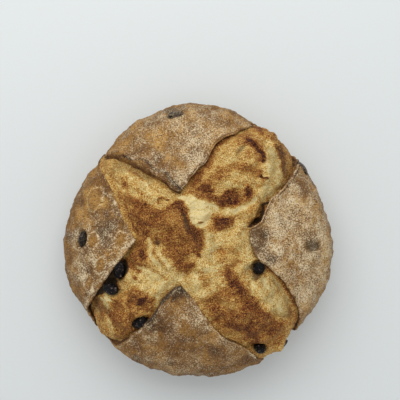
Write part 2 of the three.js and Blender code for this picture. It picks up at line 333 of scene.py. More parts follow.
@dataclass(frozen=True)
class Spot:
    """An elliptical place on the loaf with a value: a rise in mm or a strength.

    Attributes:
        at: bearing and colatitude of the middle.
        long: half length in mm.
        wide: half width in mm.
        run: direction of the length, in degrees from +X seen from above.
        value: what the spot gives.
    """

    at: Place
    long: float
    wide: float
    run: float
    value: float

    def frame(self) -> tuple[Array, Array, Array, Array]:
        """Finds how the spot lies.

        Returns:
            The middle, and the directions along, across and out of the crust.
        """
        spot = unrolled(np.array(self.at))
        out = DOUGH.normals(spot)
        turn = math.radians(self.run)
        along = np.array([math.cos(turn), math.sin(turn), 0.0])
        along = unit(along - out * along.dot(out))
        return DOUGH.points(spot), along, np.cross(out, along), out

    def distance(self, points: Array) -> Array:
        """How far points lie from the middle.

        Args:
            points: points in mm.

        Returns:
            The distances as shares of the spot's half sizes, 1 on its outline.
        """
        middle, along, across, _ = self.frame()
        offset = points - middle
        return np.hypot(offset @ along / self.long, offset @ across / self.wide)


def mounds(points: Array, spots: tuple[Spot, ...]) -> Array:
    """The rise in mm that flat-topped lumps and hollows give to points of the dough."""
    return sum(s.value * np.exp(-(s.distance(points) ** 3)) for s in spots)


@dataclass(frozen=True)
class Patch:
    """A patch with its own tone, outlined as seen from above.

    Attributes:
        tone: what the patch gives: a tone, or the strength of a stain or of flour.
        soft: half the width of its soft edge, in mm.
        path: corners in mm, of its outline or of a streak's middle line.
        width: half width of a streak in mm, or 0 for an outline.
    """

    tone: float
    soft: float
    path: tuple[Place, ...]
    width: float = 0.0

    def share(self, points: Array) -> Array:
        """How much of the patch shows.

        Args:
            points: points in mm.

        Returns:
            A share from 0 to 1 for each point.
        """
        corners = np.array(self.path, dtype=float)
        reach = self.width + self.soft
        low = corners.min(axis=0) - reach
        high = corners.max(axis=0) + reach
        plan = points[:, :2]
        near = np.flatnonzero(np.all((plan > low) & (plan < high), axis=1))
        here = plan[near]
        ends = np.roll(corners, -1, axis=0)
        if self.width:
            corners, ends = corners[:-1], ends[:-1]
        away = np.full(len(near), np.inf)
        inside = np.zeros(len(near), dtype=bool)
        for start, end in zip(corners, ends):
            side = end - start
            offset = here - start
            along = np.clip(offset @ side / side.dot(side), 0.0, 1.0)
            away = np.minimum(away, np.linalg.norm(offset - along[:, None] * side, axis=1))
            if side[1]:
                crossed = (start[1] > here[:, 1]) != (end[1] > here[:, 1])
                inside ^= crossed & (offset[:, 0] < side[0] * offset[:, 1] / side[1])
        depth = self.width - away if self.width else np.where(inside, away, -away)
        shares = np.zeros(len(points))
        shares[near] = smoothstep(depth, -self.soft, self.soft)
        return shares


def laid_over(points: Array, patches: tuple[Patch, ...], ground: float) -> Array:
    """Lays patches over a ground tone, each over the ones before it.

    Args:
        points: points in mm.
        patches: the patches, from the lowest.
        ground: the tone where there is no patch.

    Returns:
        One tone a point.
    """
    tones = np.full(len(points), ground)
    for patch in patches:
        tones += patch.share(points) * (patch.tone - tones)
    return tones


@dataclass(frozen=True)
class PlaneWaves:
    """Seeded waves of random direction and length that crease or roll the surface.

    Attributes:
        seed: gives other waves of the same kind.
        count: how many waves there are.
        shortest: the shortest wavelength in mm.
        longest: the longest wavelength in mm.
        rise: the height of each wave in mm.
        creased: whether the waves meet in creases, or else roll smoothly.
    """

    seed: int
    count: int
    shortest: float
    longest: float
    rise: float
    creased: bool

    def rises(self, points: Array) -> Array:
        """The waves' relief.

        Args:
            points: points in mm.

        Returns:
            The rise in mm at each point.
        """
        state = self.seed
        draws = []
        for _ in range(4 * self.count):
            state = (state * DRAW_FACTOR + DRAW_STEP) % DRAW_SPAN
            draws.append(state / DRAW_SPAN)
        total = np.zeros(len(points))
        for tilt, turn, length, shift in zip(*[iter(draws)] * 4):
            tilt = 2.0 * tilt - 1.0
            turn *= 2.0 * math.pi
            flat = math.sqrt(1.0 - tilt * tilt)
            across = np.array([flat * math.cos(turn), flat * math.sin(turn), tilt])
            across *= 2.0 * math.pi / (self.shortest + (self.longest - self.shortest) * length)
            wave = np.sin(points @ across + 2.0 * math.pi * shift)
            total += self.rise * (2.0 * np.abs(wave) - CREASE_MEAN if self.creased else wave)
        return total


# The cut


class Arm(Enum):
    """The four arms of the cross cut, each with the bearing and colatitude of its end."""

    NORTHEAST = (50.0, 107.0)
    NORTHWEST = (138.5, 84.0)
    SOUTHWEST = (-138.0, 96.0)
    SOUTHEAST = (-51.0, 106.0)


@dataclass(frozen=True)
class FlapSide:
    """One side of a flap, from its tip to the end of an arm.

    Attributes:
        arm: the arm that the side lies along.
        through: places that the edge runs through.
        lip: how far the edge stands proud of the dough, in mm.
        gap: how deep the bloom starts below the dough, in mm.
        face: how far the cut face slopes out from under the lip, in mm, at the tip and further on,
            or 0 where it is undercut.
        fades_after: the share of the side after which the step dies away.
        dusted: how thickly flour lies on the lip, or, below 0, how much it toasted.
    """

    arm: Arm
    through: tuple[Place, ...]
    lip: float
    gap: float
    face: Place = (0.0, 0.0)
    fades_after: float = 0.72
    dusted: float = 1.0


@dataclass(frozen=True)
class Flap:
    """A flap of crust between two arms of the cut.

    Attributes:
        tip: the place of its tip.
        sides: its sides, the clockwise one first.
    """

    tip: Place
    sides: tuple[FlapSide, FlapSide]


FLAPS = (
    Flap(
        (17.0, 20.0),
        (
            FlapSide(Arm.SOUTHEAST, ((10, 19), (0.2, 19.1), (-10.3, 21.5), (-19.7, 30.8),
                (-24, 40.5), (-33, 59), (-41, 80), (-45, 97)), 1.7, 1.8, (0.6, 2.2), dusted=0.3),
            FlapSide(Arm.NORTHEAST, ((18.6, 23.8), (21, 27.2), (25.6, 30.2), (30, 34.6), (32, 41.5),
                (34, 53), (37, 69), (40, 90)), 2.4, 4.0, (0.0, 2.4), dusted=-1.0),
        ),
    ),
    Flap(
        (109.0, 19.4),
        (
            FlapSide(Arm.NORTHEAST, ((96.9, 23.4), (84.2, 32.2), (78.4, 44.1), (69.8, 56.6),
                (64, 74), (60, 93)), 1.8, 2.4, fades_after=0.34, dusted=-0.6),
            FlapSide(Arm.NORTHWEST, ((118.2, 29.6), (122.9, 36), (127.6, 47.6), (133.2, 65)), 3.6,
                4.6, (4.0, 6.5), dusted=0.2),
        ),
    ),
    Flap(
        (176.0, 22.8),
        (
            FlapSide(Arm.NORTHWEST, ((163.9, 28.7), (153.6, 37.6), (146.4, 48.4), (142.5, 66)),
                0.35, 0.2),
            FlapSide(Arm.SOUTHWEST, ((-170.5, 28.9), (-161.7, 37.5), (-154.3, 50.4), (-149.5, 66),
                (-145, 83)), 3.0, 3.8, dusted=0.4),
        ),
    ),
    Flap(
        (-110.7, 15.2),
        (
            FlapSide(Arm.SOUTHWEST, ((-117, 18.6), (-120.6, 23.6), (-121.0, 29.5), (-121.6, 35.5),
                (-122.6, 41), (-124.6, 47.5), (-127, 66), (-130, 83)), 1.8, 3.0, (2.6, 2.2)),
            FlapSide(Arm.SOUTHEAST, ((-98, 17.6), (-83, 27.6), (-74.3, 39.8), (-65.8, 51.3),
                (-62.2, 72), (-59, 92)), 0.8, 1.0, dusted=0.4),
        ),
    ),
)


def curve_through(places: tuple[Place, ...], steps: int, per_place: int = 60) -> Array:
    """Draws a smooth curve through places.

    Args:
        places: the places, in order.
        steps: how many even steps the curve is cut into.
        per_place: how many samples are taken between two places to measure it.

    Returns:
        The steps + 1 unrolled points.
    """
    knots = unrolled(np.array(places, dtype=float))
    knots = np.vstack([2 * knots[0] - knots[1], knots, 2 * knots[-1] - knots[-2]])
    pieces = []
    for p0, p1, p2, p3 in zip(knots, knots[1:], knots[2:], knots[3:]):
        t1 = np.linalg.norm(p1 - p0) ** 0.5
        t2 = t1 + np.linalg.norm(p2 - p1) ** 0.5
        t3 = t2 + np.linalg.norm(p3 - p2) ** 0.5
        t = np.linspace(t1, t2, per_place, endpoint=False)[:, None]
        a1 = ((t1 - t) * p0 + t * p1) / t1
        a2 = ((t2 - t) * p1 + (t - t1) * p2) / (t2 - t1)
        a3 = ((t3 - t) * p2 + (t - t2) * p3) / (t3 - t2)
        b1 = ((t2 - t) * a1 + t * a2) / t2
        b2 = ((t3 - t) * a2 + (t - t1) * a3) / (t3 - t1)
        pieces.append(((t2 - t) * b1 + (t - t1) * b2) / (t2 - t1))
    line = np.vstack([*pieces, knots[-2:-1]])
    walked = np.concatenate([[0.0], np.cumsum(np.linalg.norm(np.diff(line, axis=0), axis=1))])
    even = np.linspace(0.0, walked[-1], steps + 1)
    return np.stack([np.interp(even, walked, line[:, i]) for i in (0, 1)], axis=-1)


@dataclass
class CutLine:
    """The closed edge of the cut, sampled counterclockwise, with the middle line of its arms.

    Attributes:
        edge: unrolled points of the edge.
        middle: unrolled points on the middle of the arm, one for each point of the edge.
        lip: how far the crust's lip stands proud, in mm.
        gap: how deep the bloom starts, in mm.
        face: how far the cut face slopes out, in mm.
        dusted: how thickly flour lies on the lip, or, below 0, how much it toasted.
        foot: bearings in degrees where the crust below each point meets the rim of the base.
        tree: search tree of the edge's points on the dough.
        surface: the edge's points on the dough, in mm.
        outward: unrolled directions from the bloom to the crust.
    """

    edge: Array
    middle: Array
    lip: Array
    gap: Array
    face: Array
    dusted: Array
    foot: Array
    tree: KDTree = field(init=False)
    surface: Array = field(init=False)
    outward: Array = field(init=False)

    def __post_init__(self) -> None:
        """Works out the directions along the edge and a search tree of its points."""
        ahead = np.roll(self.edge, -1, axis=0) - np.roll(self.edge, 1, axis=0)
        self.outward = unit(around(np.stack([ahead[:, 1], -ahead[:, 0]], axis=-1), 3))
        self.surface = DOUGH.points(self.edge)
        self.tree = KDTree(len(self.edge))
        for i, point in enumerate(self.surface):
            self.tree.insert(point, i)
        self.tree.balance()

    def nearest(self, points: Array) -> tuple[Array, Array]:
        """Finds the nearest samples of the edge.

        Args:
            points: points in mm.

        Returns:
            Their distances from the edge in mm, and the numbers of the nearest samples.
        """
        found = [self.tree.find(point)[1:] for point in points]
        numbers, distances = zip(*found)
        return np.array(distances), np.array(numbers)


@dataclass(frozen=True)
class CrossCut:
    """The cross cut in the top of the loaf.

    Attributes:
        crossing: the place where the middle lines of the arms meet.
        flaps: the flaps between the arms.
        fade_share: the share of a side over which its step dies away.
        face_shares: the shares of a side between which its cut face changes.
        smoothing: how many samples to each side the steps are smoothed over.
    """

    crossing: Place = (160.0, 6.0)
    flaps: tuple[Flap, ...] = FLAPS
    fade_share: float = 0.28
    face_shares: Place = (0.05, 0.4)
    smoothing: int = 4

    def line(self, steps: int) -> CutLine:
        """Lays the cut's edge out as a closed line.

        Args:
            steps: samples along each side of a flap.

        Returns:
            The sampled line, of eight times as many samples.
        """
        names = ("edge", "middle", "lip", "gap", "face", "dusted", "foot")
        rows: dict[str, list[Array]] = {name: [] for name in names}
        share = np.linspace(0.0, 1.0, steps + 1)
        grown = smoothstep(share, *self.face_shares)
        for flap in self.flaps:
            turns = [(s.arm.value[0] - flap.tip[0] + 180.0) % 360.0 - 180.0 for s in flap.sides]
            tip_foot = flap.tip[0] + sum(turns) / 2.0
            for number, side in enumerate(flap.sides):
                arm_foot = flap.tip[0] + turns[number]
                faded = side.fades_after + self.fade_share
                fade = 1.0 - smoothstep(share, side.fades_after, faded)
                face = side.face[0] + (side.face[1] - side.face[0]) * grown
                values = {
                    "edge": curve_through((flap.tip, *side.through, side.arm.value), steps),
                    "middle": curve_through((self.crossing, side.arm.value), steps),
                    "lip": side.lip * fade,
                    "gap": side.gap * fade,
                    "face": face * fade,
                    "dusted": side.dusted * fade,
                    "foot": tip_foot + (arm_foot - tip_foot) * share,
                }
                for name, value in values.items():
                    rows[name].append(value[:0:-1] if number == 0 else value[:-1])
        joined = {name: np.concatenate(parts) for name, parts in rows.items()}
        for name in ("lip", "gap", "face", "dusted"):
            joined[name] = around(joined[name], self.smoothing)
        return CutLine(**joined)


CUT = CrossCut()


# Making meshes

MERGE_METRES = 2e-6


def wrapped(name: str, rows: Array, marks: dict[str, Array]) -> bpy.types.Object:
    """Wraps a primitive grid round the loaf and closes it.

    Args:
        name: the piece's name.
        rows: points in mm, in rows that each run once round the loaf; the first and the last row
            are closed up to a pole or a seam by merging.
        marks: values in the same rows, which the piece keeps as attributes.

    Returns:
        The piece, with its doubles merged and its faces turned out.
    """
    rows = np.concatenate([rows, rows[:, :1]], axis=1)
    deep, long = rows.shape[:2]
    bpy.ops.mesh.primitive_grid_add(x_subdivisions=long - 1, y_subdivisions=deep - 1, size=1)
    piece = bpy.context.active_object
    piece.name = name
    piece.data.name = name
    place(piece, rows)
    for mark, values in marks.items():
        paint(piece, mark, np.concatenate([values, values[:, :1]], axis=1).ravel())
    bpy.ops.object.mode_set(mode="EDIT")
    bpy.ops.mesh.select_all(action="SELECT")
    bpy.ops.mesh.remove_doubles(threshold=MERGE_METRES)
    bpy.ops.mesh.normals_make_consistent(inside=False)
    bpy.ops.object.mode_set(mode="OBJECT")
    smoothed(piece)
    return piece


def place(piece: bpy.types.Object, points: Array) -> None:
    """Moves a piece's vertices to points in mm."""
    piece.data.vertices.foreach_set("co", (points * MM).astype(np.float32).ravel())


def smoothed(piece: bpy.types.Object) -> None:
    """Shades the active piece smooth, and clears the primitive's unused UV map."""
    for layer in list(piece.data.uv_layers):
        piece.data.uv_layers.remove(layer)
    bpy.ops.object.shade_smooth()


def places_of(piece: bpy.types.Object) -> Array:
    """Reads where a piece's vertices are.

    Args:
        piece: the piece.

    Returns:
        The points in mm.
    """
    flat = np.empty(len(piece.data.vertices) * 3, dtype=np.float32)
    piece.data.vertices.foreach_get("co", flat)
    return flat.reshape(-1, 3).astype(float) / MM


def painting(piece: bpy.types.Object, name: str) -> Array:
    """Reads an attribute of a piece.

    Args:
        piece: the piece.
        name: the attribute's name.

    Returns:
        One value a vertex.
    """
    values = np.empty(len(piece.data.vertices), dtype=np.float32)
    piece.data.attributes[name].data.foreach_get("value", values)
    return values.astype(float)


def paint(piece: bpy.types.Object, name: str, values: Array) -> None:
    """Stores one value a vertex as an attribute that a finish reads."""
    layer = piece.data.attributes.new(name, "FLOAT", "POINT")
    layer.data.foreach_set("value", np.asarray(values, dtype=np.float32))


# Raisins that show


@dataclass(frozen=True)
class Raisin:
    """A raisin that shows in the crust.

    Attributes:
        at: bearing and colatitude of the middle of its socket.
        half: half sizes along, across and out of the crust, in mm.
        run: direction of its length, in degrees from +X seen from above.
        in_bloom: whether it sits in the bloom, or else in the skin.
        dust: how thickly flour lies on it, from 0 to 1.
    """

    at: Place
    half: tuple[float, float, float]
    run: float
    in_bloom: bool = True
    dust: float = 0.0

    def spot(self) -> Spot:
        """The raisin's outline on the loaf."""
        return Spot(self.at, self.half[0], self.half[1], self.run, 1.0)


RAISINS = (
    Raisin((-20.8, 24.2), (5.2, 5.0, 4.6), 0),
    Raisin((-59.0, 61.5), (4.8, 4.8, 6.0), 20),
    Raisin((-161.8, 31.8), (7.4, 5.2, 4.6), 78),
    Raisin((-153.0, 40.0), (7.2, 5.2, 4.4), -20),
    Raisin((-126.2, 41.5), (7.4, 5.0, 4.4), 30),
    Raisin((35.6, 80.0), (7.0, 4.6, 2.8), 125, in_bloom=False, dust=0.7),
    Raisin((-51.0, 77.0), (7.4, 4.2, 2.2), 40),
    Raisin((178.0, 54.6), (6.8, 4.2, 3.8), 85, in_bloom=False, dust=0.2),
    Raisin((100.0, 66.5), (6.8, 4.2, 3.8), 10, in_bloom=False, dust=0.9),
)


@dataclass(frozen=True)
class RaisinHollow:
    """The dough round a raisin: a hollow under it and a soft rim about it."""

    # The hollow's depth in mm, and its half size as a share of the raisin's
    depth: float = 3.0
    hollow_reach: float = 1.12
    # The rim's height in mm, and its distance and half width as such shares
    rim: float = 0.8
    rim_reach: float = 1.4
    rim_width: float = 0.28

    def rises(self, points: Array, in_bloom: bool) -> Array:
        """The relief that sockets give the dough.

        Args:
            points: points of the dough in mm.
            in_bloom: whether the raisins in the bloom are meant, or else those in the skin.

        Returns:
            The rise in mm at each point.
        """
        total = np.zeros(len(points))
        for raisin in RAISINS:
            if raisin.in_bloom == in_bloom:
                reach = raisin.spot().distance(points)
                total += self.rim * np.exp(-(((reach - self.rim_reach) / self.rim_width) ** 2))
                total -= self.depth * np.exp(-((reach / self.hollow_reach) ** 8))
        return total


SOCKETS = RaisinHollow()

# Finishes

# The middle of a noise node's range, and the sockets of a Mix node that mixes colours
NOISE_MIDDLE = 0.5
FACTOR, LOWER, UPPER, MIXED = 0, 6, 7, 2


def linear(colour: str) -> tuple[float, float, float, float]:
    """Turns an sRGB hex colour into linear light.

    Args:
        colour: the colour as #rrggbb.

    Returns:
        Red, green, blue and an alpha of 1.
    """
    parts = (int(colour[i : i + 2], 16) / 255.0 for i in (1, 3, 5))
    red, green, blue = (c / 12.92 if c <= 0.04045 else ((c + 0.055) / 1.055) ** 2.4 for c in parts)
    return red, green, blue, 1.0


def add_node(
    tree: bpy.types.NodeTree,
    kind: str,
    inputs: dict[str | int, object] | None = None,
    output: str | int = 0,
    stops: tuple[tuple[float, str], ...] = (),
    **settings: object,
) -> Socket:
    """Adds a shader node with its settings and links.

    Args:
        tree: the material's node tree.
        kind: the node's type, without its ShaderNode prefix.
        inputs: for each input, by name or number, a value, or a socket to link to it.
        output: the name or number of the output that is wanted.
        stops: the places and sRGB hex colours along a colour ramp.
        settings: the node's own settings.

    Returns:
        The wanted output.
    """
    node = tree.nodes.new("ShaderNode" + kind)
    for name, value in settings.items():
        setattr(node, name, value)
    for name, value in (inputs or {}).items():
        if isinstance(value, Socket):
            tree.links.new(value, node.inputs[name])
        else:
            node.inputs[name].default_value = value
    for number, (place_along, colour) in enumerate(stops):
        band = node.color_ramp.elements
        element = band[number] if number < 2 else band.new(place_along)
        element.position = place_along
        element.color = linear(colour)
    return node.outputs[output]


@dataclass(frozen=True)
class Grain:
    """Noise through a piece's own space.

    Attributes:
        size: the width of its lumps in mm.
        detail: how many times finer noise is added to it.
        roughness: how strong the finer noise is.
        twist: how far the lumps are pulled out into threads.
        run: direction in which the lumps are drawn out, in degrees from +X.
        drawn: how many times longer than wide they are.
    """

    size: float
    detail: float = 3.0
    roughness: float = 0.55
    twist: float = 0.0
    run: float = 0.0
    drawn: float = 1.0

    def laid(self, where: Socket) -> dict[str | int, object]:
        """The inputs of a mapping node that turns and draws out the places of a socket."""
        return {
            "Vector": where,
            "Rotation": (0.0, 0.0, -math.radians(self.run)),
            "Scale": (1.0 / self.drawn, 1.0, 1.0),
        }

    def inputs(self, where: Socket) -> dict[str | int, object]:
        """The inputs of a noise node that reads places from a socket."""
        return {
            "Vector": where,
            "Scale": 1.0 / (self.size * MM),
            "Detail": self.detail,
            "Roughness": self.roughness,
            "Distortion": self.twist,
        }


@dataclass(frozen=True)
class Finish:
    """What the finishes of food have in common.

    Attributes:
        name: the material's name.
        roughness: how matt the surface is.
        ior: its index of refraction.
        gloss: how strongly it mirrors.
        depths: how deep each of its noises presses into the surface, in mm.
    """

    name: str
    roughness: float
    ior: float
    gloss: float
    depths: tuple[float, ...]

    def begun(self) -> tuple[bpy.types.Material, bpy.types.NodeTree]:
        """The empty material and its node tree."""
        material = bpy.data.materials.new(self.name)
        material.use_nodes = True
        return material, material.node_tree

    def shaded(self, tree: bpy.types.NodeTree, colour: Socket, noises: list[Socket]) -> None:
        """Gives the shader its colour, gloss and small relief.

        Args:
            tree: the material's node tree.
            colour: the surface's colour.
            noises: the noises, in the order of the depths.
        """
        shader = tree.nodes["Principled BSDF"]
        tree.links.new(colour, shader.inputs["Base Color"])
        shader.inputs["Roughness"].default_value = self.roughness
        shader.inputs["IOR"].default_value = self.ior
        shader.inputs["Specular IOR Level"].default_value = self.gloss
        height = 0.0
        for noise, depth in zip(noises, self.depths):
            pressed = {0: noise, 1: depth, 2: height}
            height = add_node(tree, "Math", pressed, operation="MULTIPLY_ADD")
        relief = {"Height": height, "Strength": 1.0, "Distance": MM}
        tree.links.new(add_node(tree, "Bump", relief), shader.inputs["Normal"])


@dataclass(frozen=True)
class TornCrumb(Finish):
    """Wheat dough that tore open in the oven and baked without flour on it.

    The eye sees matt cream in the folds that opened last, gold where they dried, and brown to
    nearly black where the crests toasted, over a fibrous grain. The same near black is painted as
    shade in the crevice and the void under the flaps. Its finest crumbs are drawn about a
    millimetre wide, as coarse as they need to be to show.
    """

    name: str = "torn_wheat_crumb_toasted"
    roughness: float = 0.7
    ior: float = 1.45
    gloss: float = 0.3
    depths: tuple[float, ...] = (1.0, 0.95, 1.3)
    # Colours from the palest crumb to the most toasted
    tones: tuple[tuple[float, str], ...] = (
        (0.0, "#fde8ac"),
        (1.0, "#361508"),
        (0.16, "#eccf83"),
        (0.36, "#d3a453"),
        (0.58, "#a96e31"),
        (0.78, "#7e481f"),
        (0.93, "#57280f"),
    )
    # Where a raisin darkened the crumb, and painted shade in crevices, recesses and valleys
    stain_and_shade: str = "#54462f"
    stain_and_shade_share: float = 0.75
    # The crumb that dried quickly, and where along the threads it sets in
    amber: str = "#c4742c"
    amber_share: float = 0.4
    amber_range: Place = (0.5, 0.72)
    # The grains, and how far each moves the tone
    crumb: Grain = Grain(0.82, 1.0, 0.6)
    fibre: Grain = Grain(1.5, 2.0, 0.6, 0.6, 42.0, 3.2)
    thread: Grain = Grain(2.2, 3.0, 0.6, 1.4, -48.0, 2.6)
    mottle: Grain = Grain(9.0, 4.0, 0.6)
    swings: tuple[float, ...] = (1.5, 0.34, 0.34, 0.2)

    def material(self) -> bpy.types.Material:
        """Builds the material.

        Returns:
            The material, which reads the attributes tone and stain.
        """
        material, tree = self.begun()
        where = add_node(tree, "TexCoord", output="Object")
        grains = (self.crumb, self.fibre, self.thread, self.mottle)
        laid = [add_node(tree, "Mapping", grain.laid(where)) for grain in grains]
        noises = [add_node(tree, "TexNoise", g.inputs(spot)) for g, spot in zip(grains, laid)]
        tone = add_node(tree, "Attribute", output="Fac", attribute_name="tone")
        middle = NOISE_MIDDLE * sum(self.swings)
        tone = add_node(tree, "Math", {0: tone, 1: middle}, operation="SUBTRACT")
        for noise, swing in zip(noises, self.swings):
            tone = add_node(tree, "Math", {0: noise, 1: swing, 2: tone}, operation="MULTIPLY_ADD")
        colour = add_node(tree, "ValToRGB", {0: tone}, stops=self.tones)
        low, high = self.amber_range
        dried = {"Value": noises[2], "From Min": low, "From Max": high, "To Max": self.amber_share}
        dried = add_node(tree, "MapRange", dried, interpolation_type="SMOOTHSTEP")
        mix = {FACTOR: dried, LOWER: colour, UPPER: linear(self.amber)}
        colour = add_node(tree, "Mix", mix, MIXED, data_type="RGBA", blend_type="SOFT_LIGHT")
        # Raisin marks, and painted shade in crevices, recesses and valleys
        stain_and_shade = add_node(tree, "Attribute", output="Fac", attribute_name="stain_and_shade")
        stain_and_shade = add_node(tree, "Math", {0: stain_and_shade, 1: self.stain_and_shade_share}, operation="MULTIPLY")
        mix = {FACTOR: stain_and_shade, LOWER: colour, UPPER: linear(self.stain_and_shade)}
        colour = add_node(tree, "Mix", mix, MIXED, data_type="RGBA")
        self.shaded(tree, colour, noises)
        return material


@dataclass(frozen=True)
class FlouredCrust(Finish):
    """Skin of proved wheat dough, dusted with flour and baked hard.

    The eye sees matt golden to chestnut crust under flour that lies in grains, with the brown and
    small dark pores showing between them, and smooth golden blisters that carry no flour. Grains
    and pores are drawn about a millimetre wide, as coarse as they need to be to show.
    """

    name: str = "baked_wheat_crust_dusted_with_flour"
    roughness: float = 0.78
    ior: float = 1.45
    gloss: float = 0.25
    depths: tuple[float, ...] = (0.45, 0.5, 0.7)
    # Colours from the palest crust to the darkest, and how far noise moves them
    tones: tuple[tuple[float, str], ...] = (
        (0.0, "#d4ac5e"),
        (1.0, "#352010"),
        (0.3, "#ba8a46"),
        (0.5, "#966b34"),
        (0.7, "#775029"),
        (0.9, "#51361c"),
    )
    skin_swing: float = 0.5
    mottle_swing: float = 0.3
    # Where a raisin darkened the crust, and painted shade in the groove along the south flap's tip
    # and, in part, on the east flap's tip
    stain_and_shade: str = "#443c30"
    stain_and_shade_share: float = 0.7
    # Flour on top and, thinner, on the sides, and how much it whitens between its grains
    flour: str = "#ead4ac"
    side_flour: str = "#bcb096"
    veil: float = 0.1
    # How high a grain stands that carries flour, and how much lower in a thick dusting
    bare_height: float = 0.79
    thick_height: float = 0.2
    grain_edge: float = 0.26
    # How white a floured grain is at least, and how much whiter in a thick dusting
    cover: Place = (0.5, 0.4)
    # The pores, and where along their noise they set in
    pore: str = "#55371c"
    pore_range: Place = (0.48, 0.34)
    pore_share: float = 0.85
    # Grains of flour, pores, small unevenness and large clouds
    speck: Grain = Grain(1.0, 1.0, 0.7)
    hole: Grain = Grain(1.15, 1.5, 0.7, 0.4)
    skin: Grain = Grain(2.6, 4.0, 0.6)
    mottle: Grain = Grain(11.0, 4.0, 0.6)

    def material(self) -> bpy.types.Material:
        """Builds the material.

        Returns:
            The material, which reads the attributes tone, flour, stain and side.
        """
        material, tree = self.begun()
        where = add_node(tree, "TexCoord", output="Object")
        grains = (self.speck, self.hole, self.skin, self.mottle)
        noises = [add_node(tree, "TexNoise", grain.inputs(where)) for grain in grains]
        speck, hole, skin, mottle = noises
        tone, flour, stain_and_shade, side = (
            add_node(tree, "Attribute", output="Fac", attribute_name=mark)
            for mark in ("tone", "flour", "stain_and_shade", "side")
        )
        for noise, swing in ((skin, self.skin_swing), (mottle, self.mottle_swing)):
            tone = add_node(tree, "Math", {0: noise, 1: swing, 2: tone}, operation="MULTIPLY_ADD")
        middle = NOISE_MIDDLE * (self.skin_swing + self.mottle_swing)
        tone = add_node(tree, "Math", {0: tone, 1: middle}, operation="SUBTRACT")
        colour = add_node(tree, "ValToRGB", {0: tone}, stops=self.tones)
        # Raisin marks, and painted shade in the groove along the south flap's tip
        stain_and_shade = add_node(tree, "Math", {0: stain_and_shade, 1: self.stain_and_shade_share}, operation="MULTIPLY")
        mix = {FACTOR: stain_and_shade, LOWER: colour, UPPER: linear(self.stain_and_shade)}
        colour = add_node(tree, "Mix", mix, MIXED, data_type="RGBA")
        # Flour lies as a thin veil, and thickly on the grains that stand up.
        veil = add_node(tree, "Math", {0: flour, 1: self.veil}, operation="MULTIPLY")
        top = {0: flour, 1: -self.thick_height, 2: self.bare_height}
        top = add_node(tree, "Math", top, operation="MULTIPLY_ADD")
        foot = add_node(tree, "Math", {0: top, 1: self.grain_edge}, operation="SUBTRACT")
        thick = {"Value": speck, "From Min": foot, "From Max": top}
        thick = add_node(tree, "MapRange", thick, interpolation_type="SMOOTHSTEP")
        cover = {0: flour, 1: self.cover[1], 2: self.cover[0]}
        cover = add_node(tree, "Math", cover, operation="MULTIPLY_ADD")
        thick = add_node(tree, "Math", {0: thick, 1: cover}, operation="MULTIPLY")
        share = add_node(tree, "Math", {0: thick, 1: veil}, operation="MAXIMUM")
        mix = {FACTOR: side, LOWER: linear(self.flour), UPPER: linear(self.side_flour)}
        dust = add_node(tree, "Mix", mix, MIXED, data_type="RGBA")
        mix = {FACTOR: share, LOWER: colour, UPPER: dust}
        colour = add_node(tree, "Mix", mix, MIXED, data_type="RGBA")
        low, high = self.pore_range
        pores = {"Value": hole, "From Min": low, "From Max": high}
        pores = add_node(tree, "MapRange", pores, interpolation_type="SMOOTHSTEP")
        pores = add_node(tree, "Math", {0: pores, 1: self.pore_share}, operation="MULTIPLY")
        mix = {FACTOR: pores, LOWER: colour, UPPER: linear(self.pore)}
        colour = add_node(tree, "Mix", mix, MIXED, data_type="RGBA")
        self.shaded(tree, colour, noises)
        return material


@dataclass(frozen=True)
class RaisinSkin(Finish):
    """Dried grape skin, baked nearly black, with paler folds that carry small soft painted
    highlights.

    The raisins that stay half under the crust are dusted with its flour.
    """

    name: str = "dried_grape_skin_baked"
    roughness: float = 0.3
    ior: float = 1.4
    gloss: float = 0.22
    depths: tuple[float, ...] = (1.7,)
    # The skin, its paler folds with painted highlights, and the flour on it
    dark: str = "#070404"
    light: str = "#8a766e"
    flour: str = "#8a7860"
    # Where along the noises the painted fold highlights and the flour set in and are full
    fold_range: Place = (0.56, 0.75)
    dust_range: Place = (0.38, 0.6)
    fold: Grain = Grain(1.7, 3.0)
    dust: Grain = Grain(1.6, 3.0)

    def material(self) -> bpy.types.Material:
        """Builds the material.

        Returns:
            The material, which reads the attribute flour.
        """
        material, tree = self.begun()
        where = add_node(tree, "TexCoord", output="Object")
        noises = [add_node(tree, "TexNoise", g.inputs(where)) for g in (self.fold, self.dust)]
        fold, dust = (
            add_node(
                tree,
                "MapRange",
                {"Value": noise, "From Min": low, "From Max": high},
                interpolation_type="SMOOTHSTEP",
            )
            for noise, (low, high) in zip(noises, (self.fold_range, self.dust_range))
        )
        # Paler fold crests with painted highlights
        mix = {FACTOR: fold, LOWER: linear(self.dark), UPPER: linear(self.light)}
        colour = add_node(tree, "Mix", mix, MIXED, data_type="RGBA")
        flour = add_node(tree, "Attribute", output="Fac", attribute_name="flour")
        dust = add_node(tree, "Math", {0: dust, 1: flour}, operation="MULTIPLY")
        mix = {FACTOR: dust, LOWER: colour, UPPER: linear(self.flour)}
        colour = add_node(tree, "Mix", mix, MIXED, data_type="RGBA")
        self.shaded(tree, colour, noises)
        return material


@dataclass(frozen=True)
class PaleFloor:
    """A plain matt pale surface under the loaf."""

    name: str = "pale_matt_floor"
    colour: str = "#e9edec"
    roughness: float = 0.6
    gloss: float = 0.3

    def material(self) -> bpy.types.Material:
        """Builds the material.

        Returns:
            The material.
        """
        material = bpy.data.materials.new(self.name)
        material.use_nodes = True
        shader = material.node_tree.nodes["Principled BSDF"]
        shader.inputs["Base Color"].default_value = linear(self.colour)
        shader.inputs["Roughness"].default_value = self.roughness
        shader.inputs["Specular IOR Level"].default_value = self.gloss
        return material


# Outlines that several patches share, in mm as seen from above

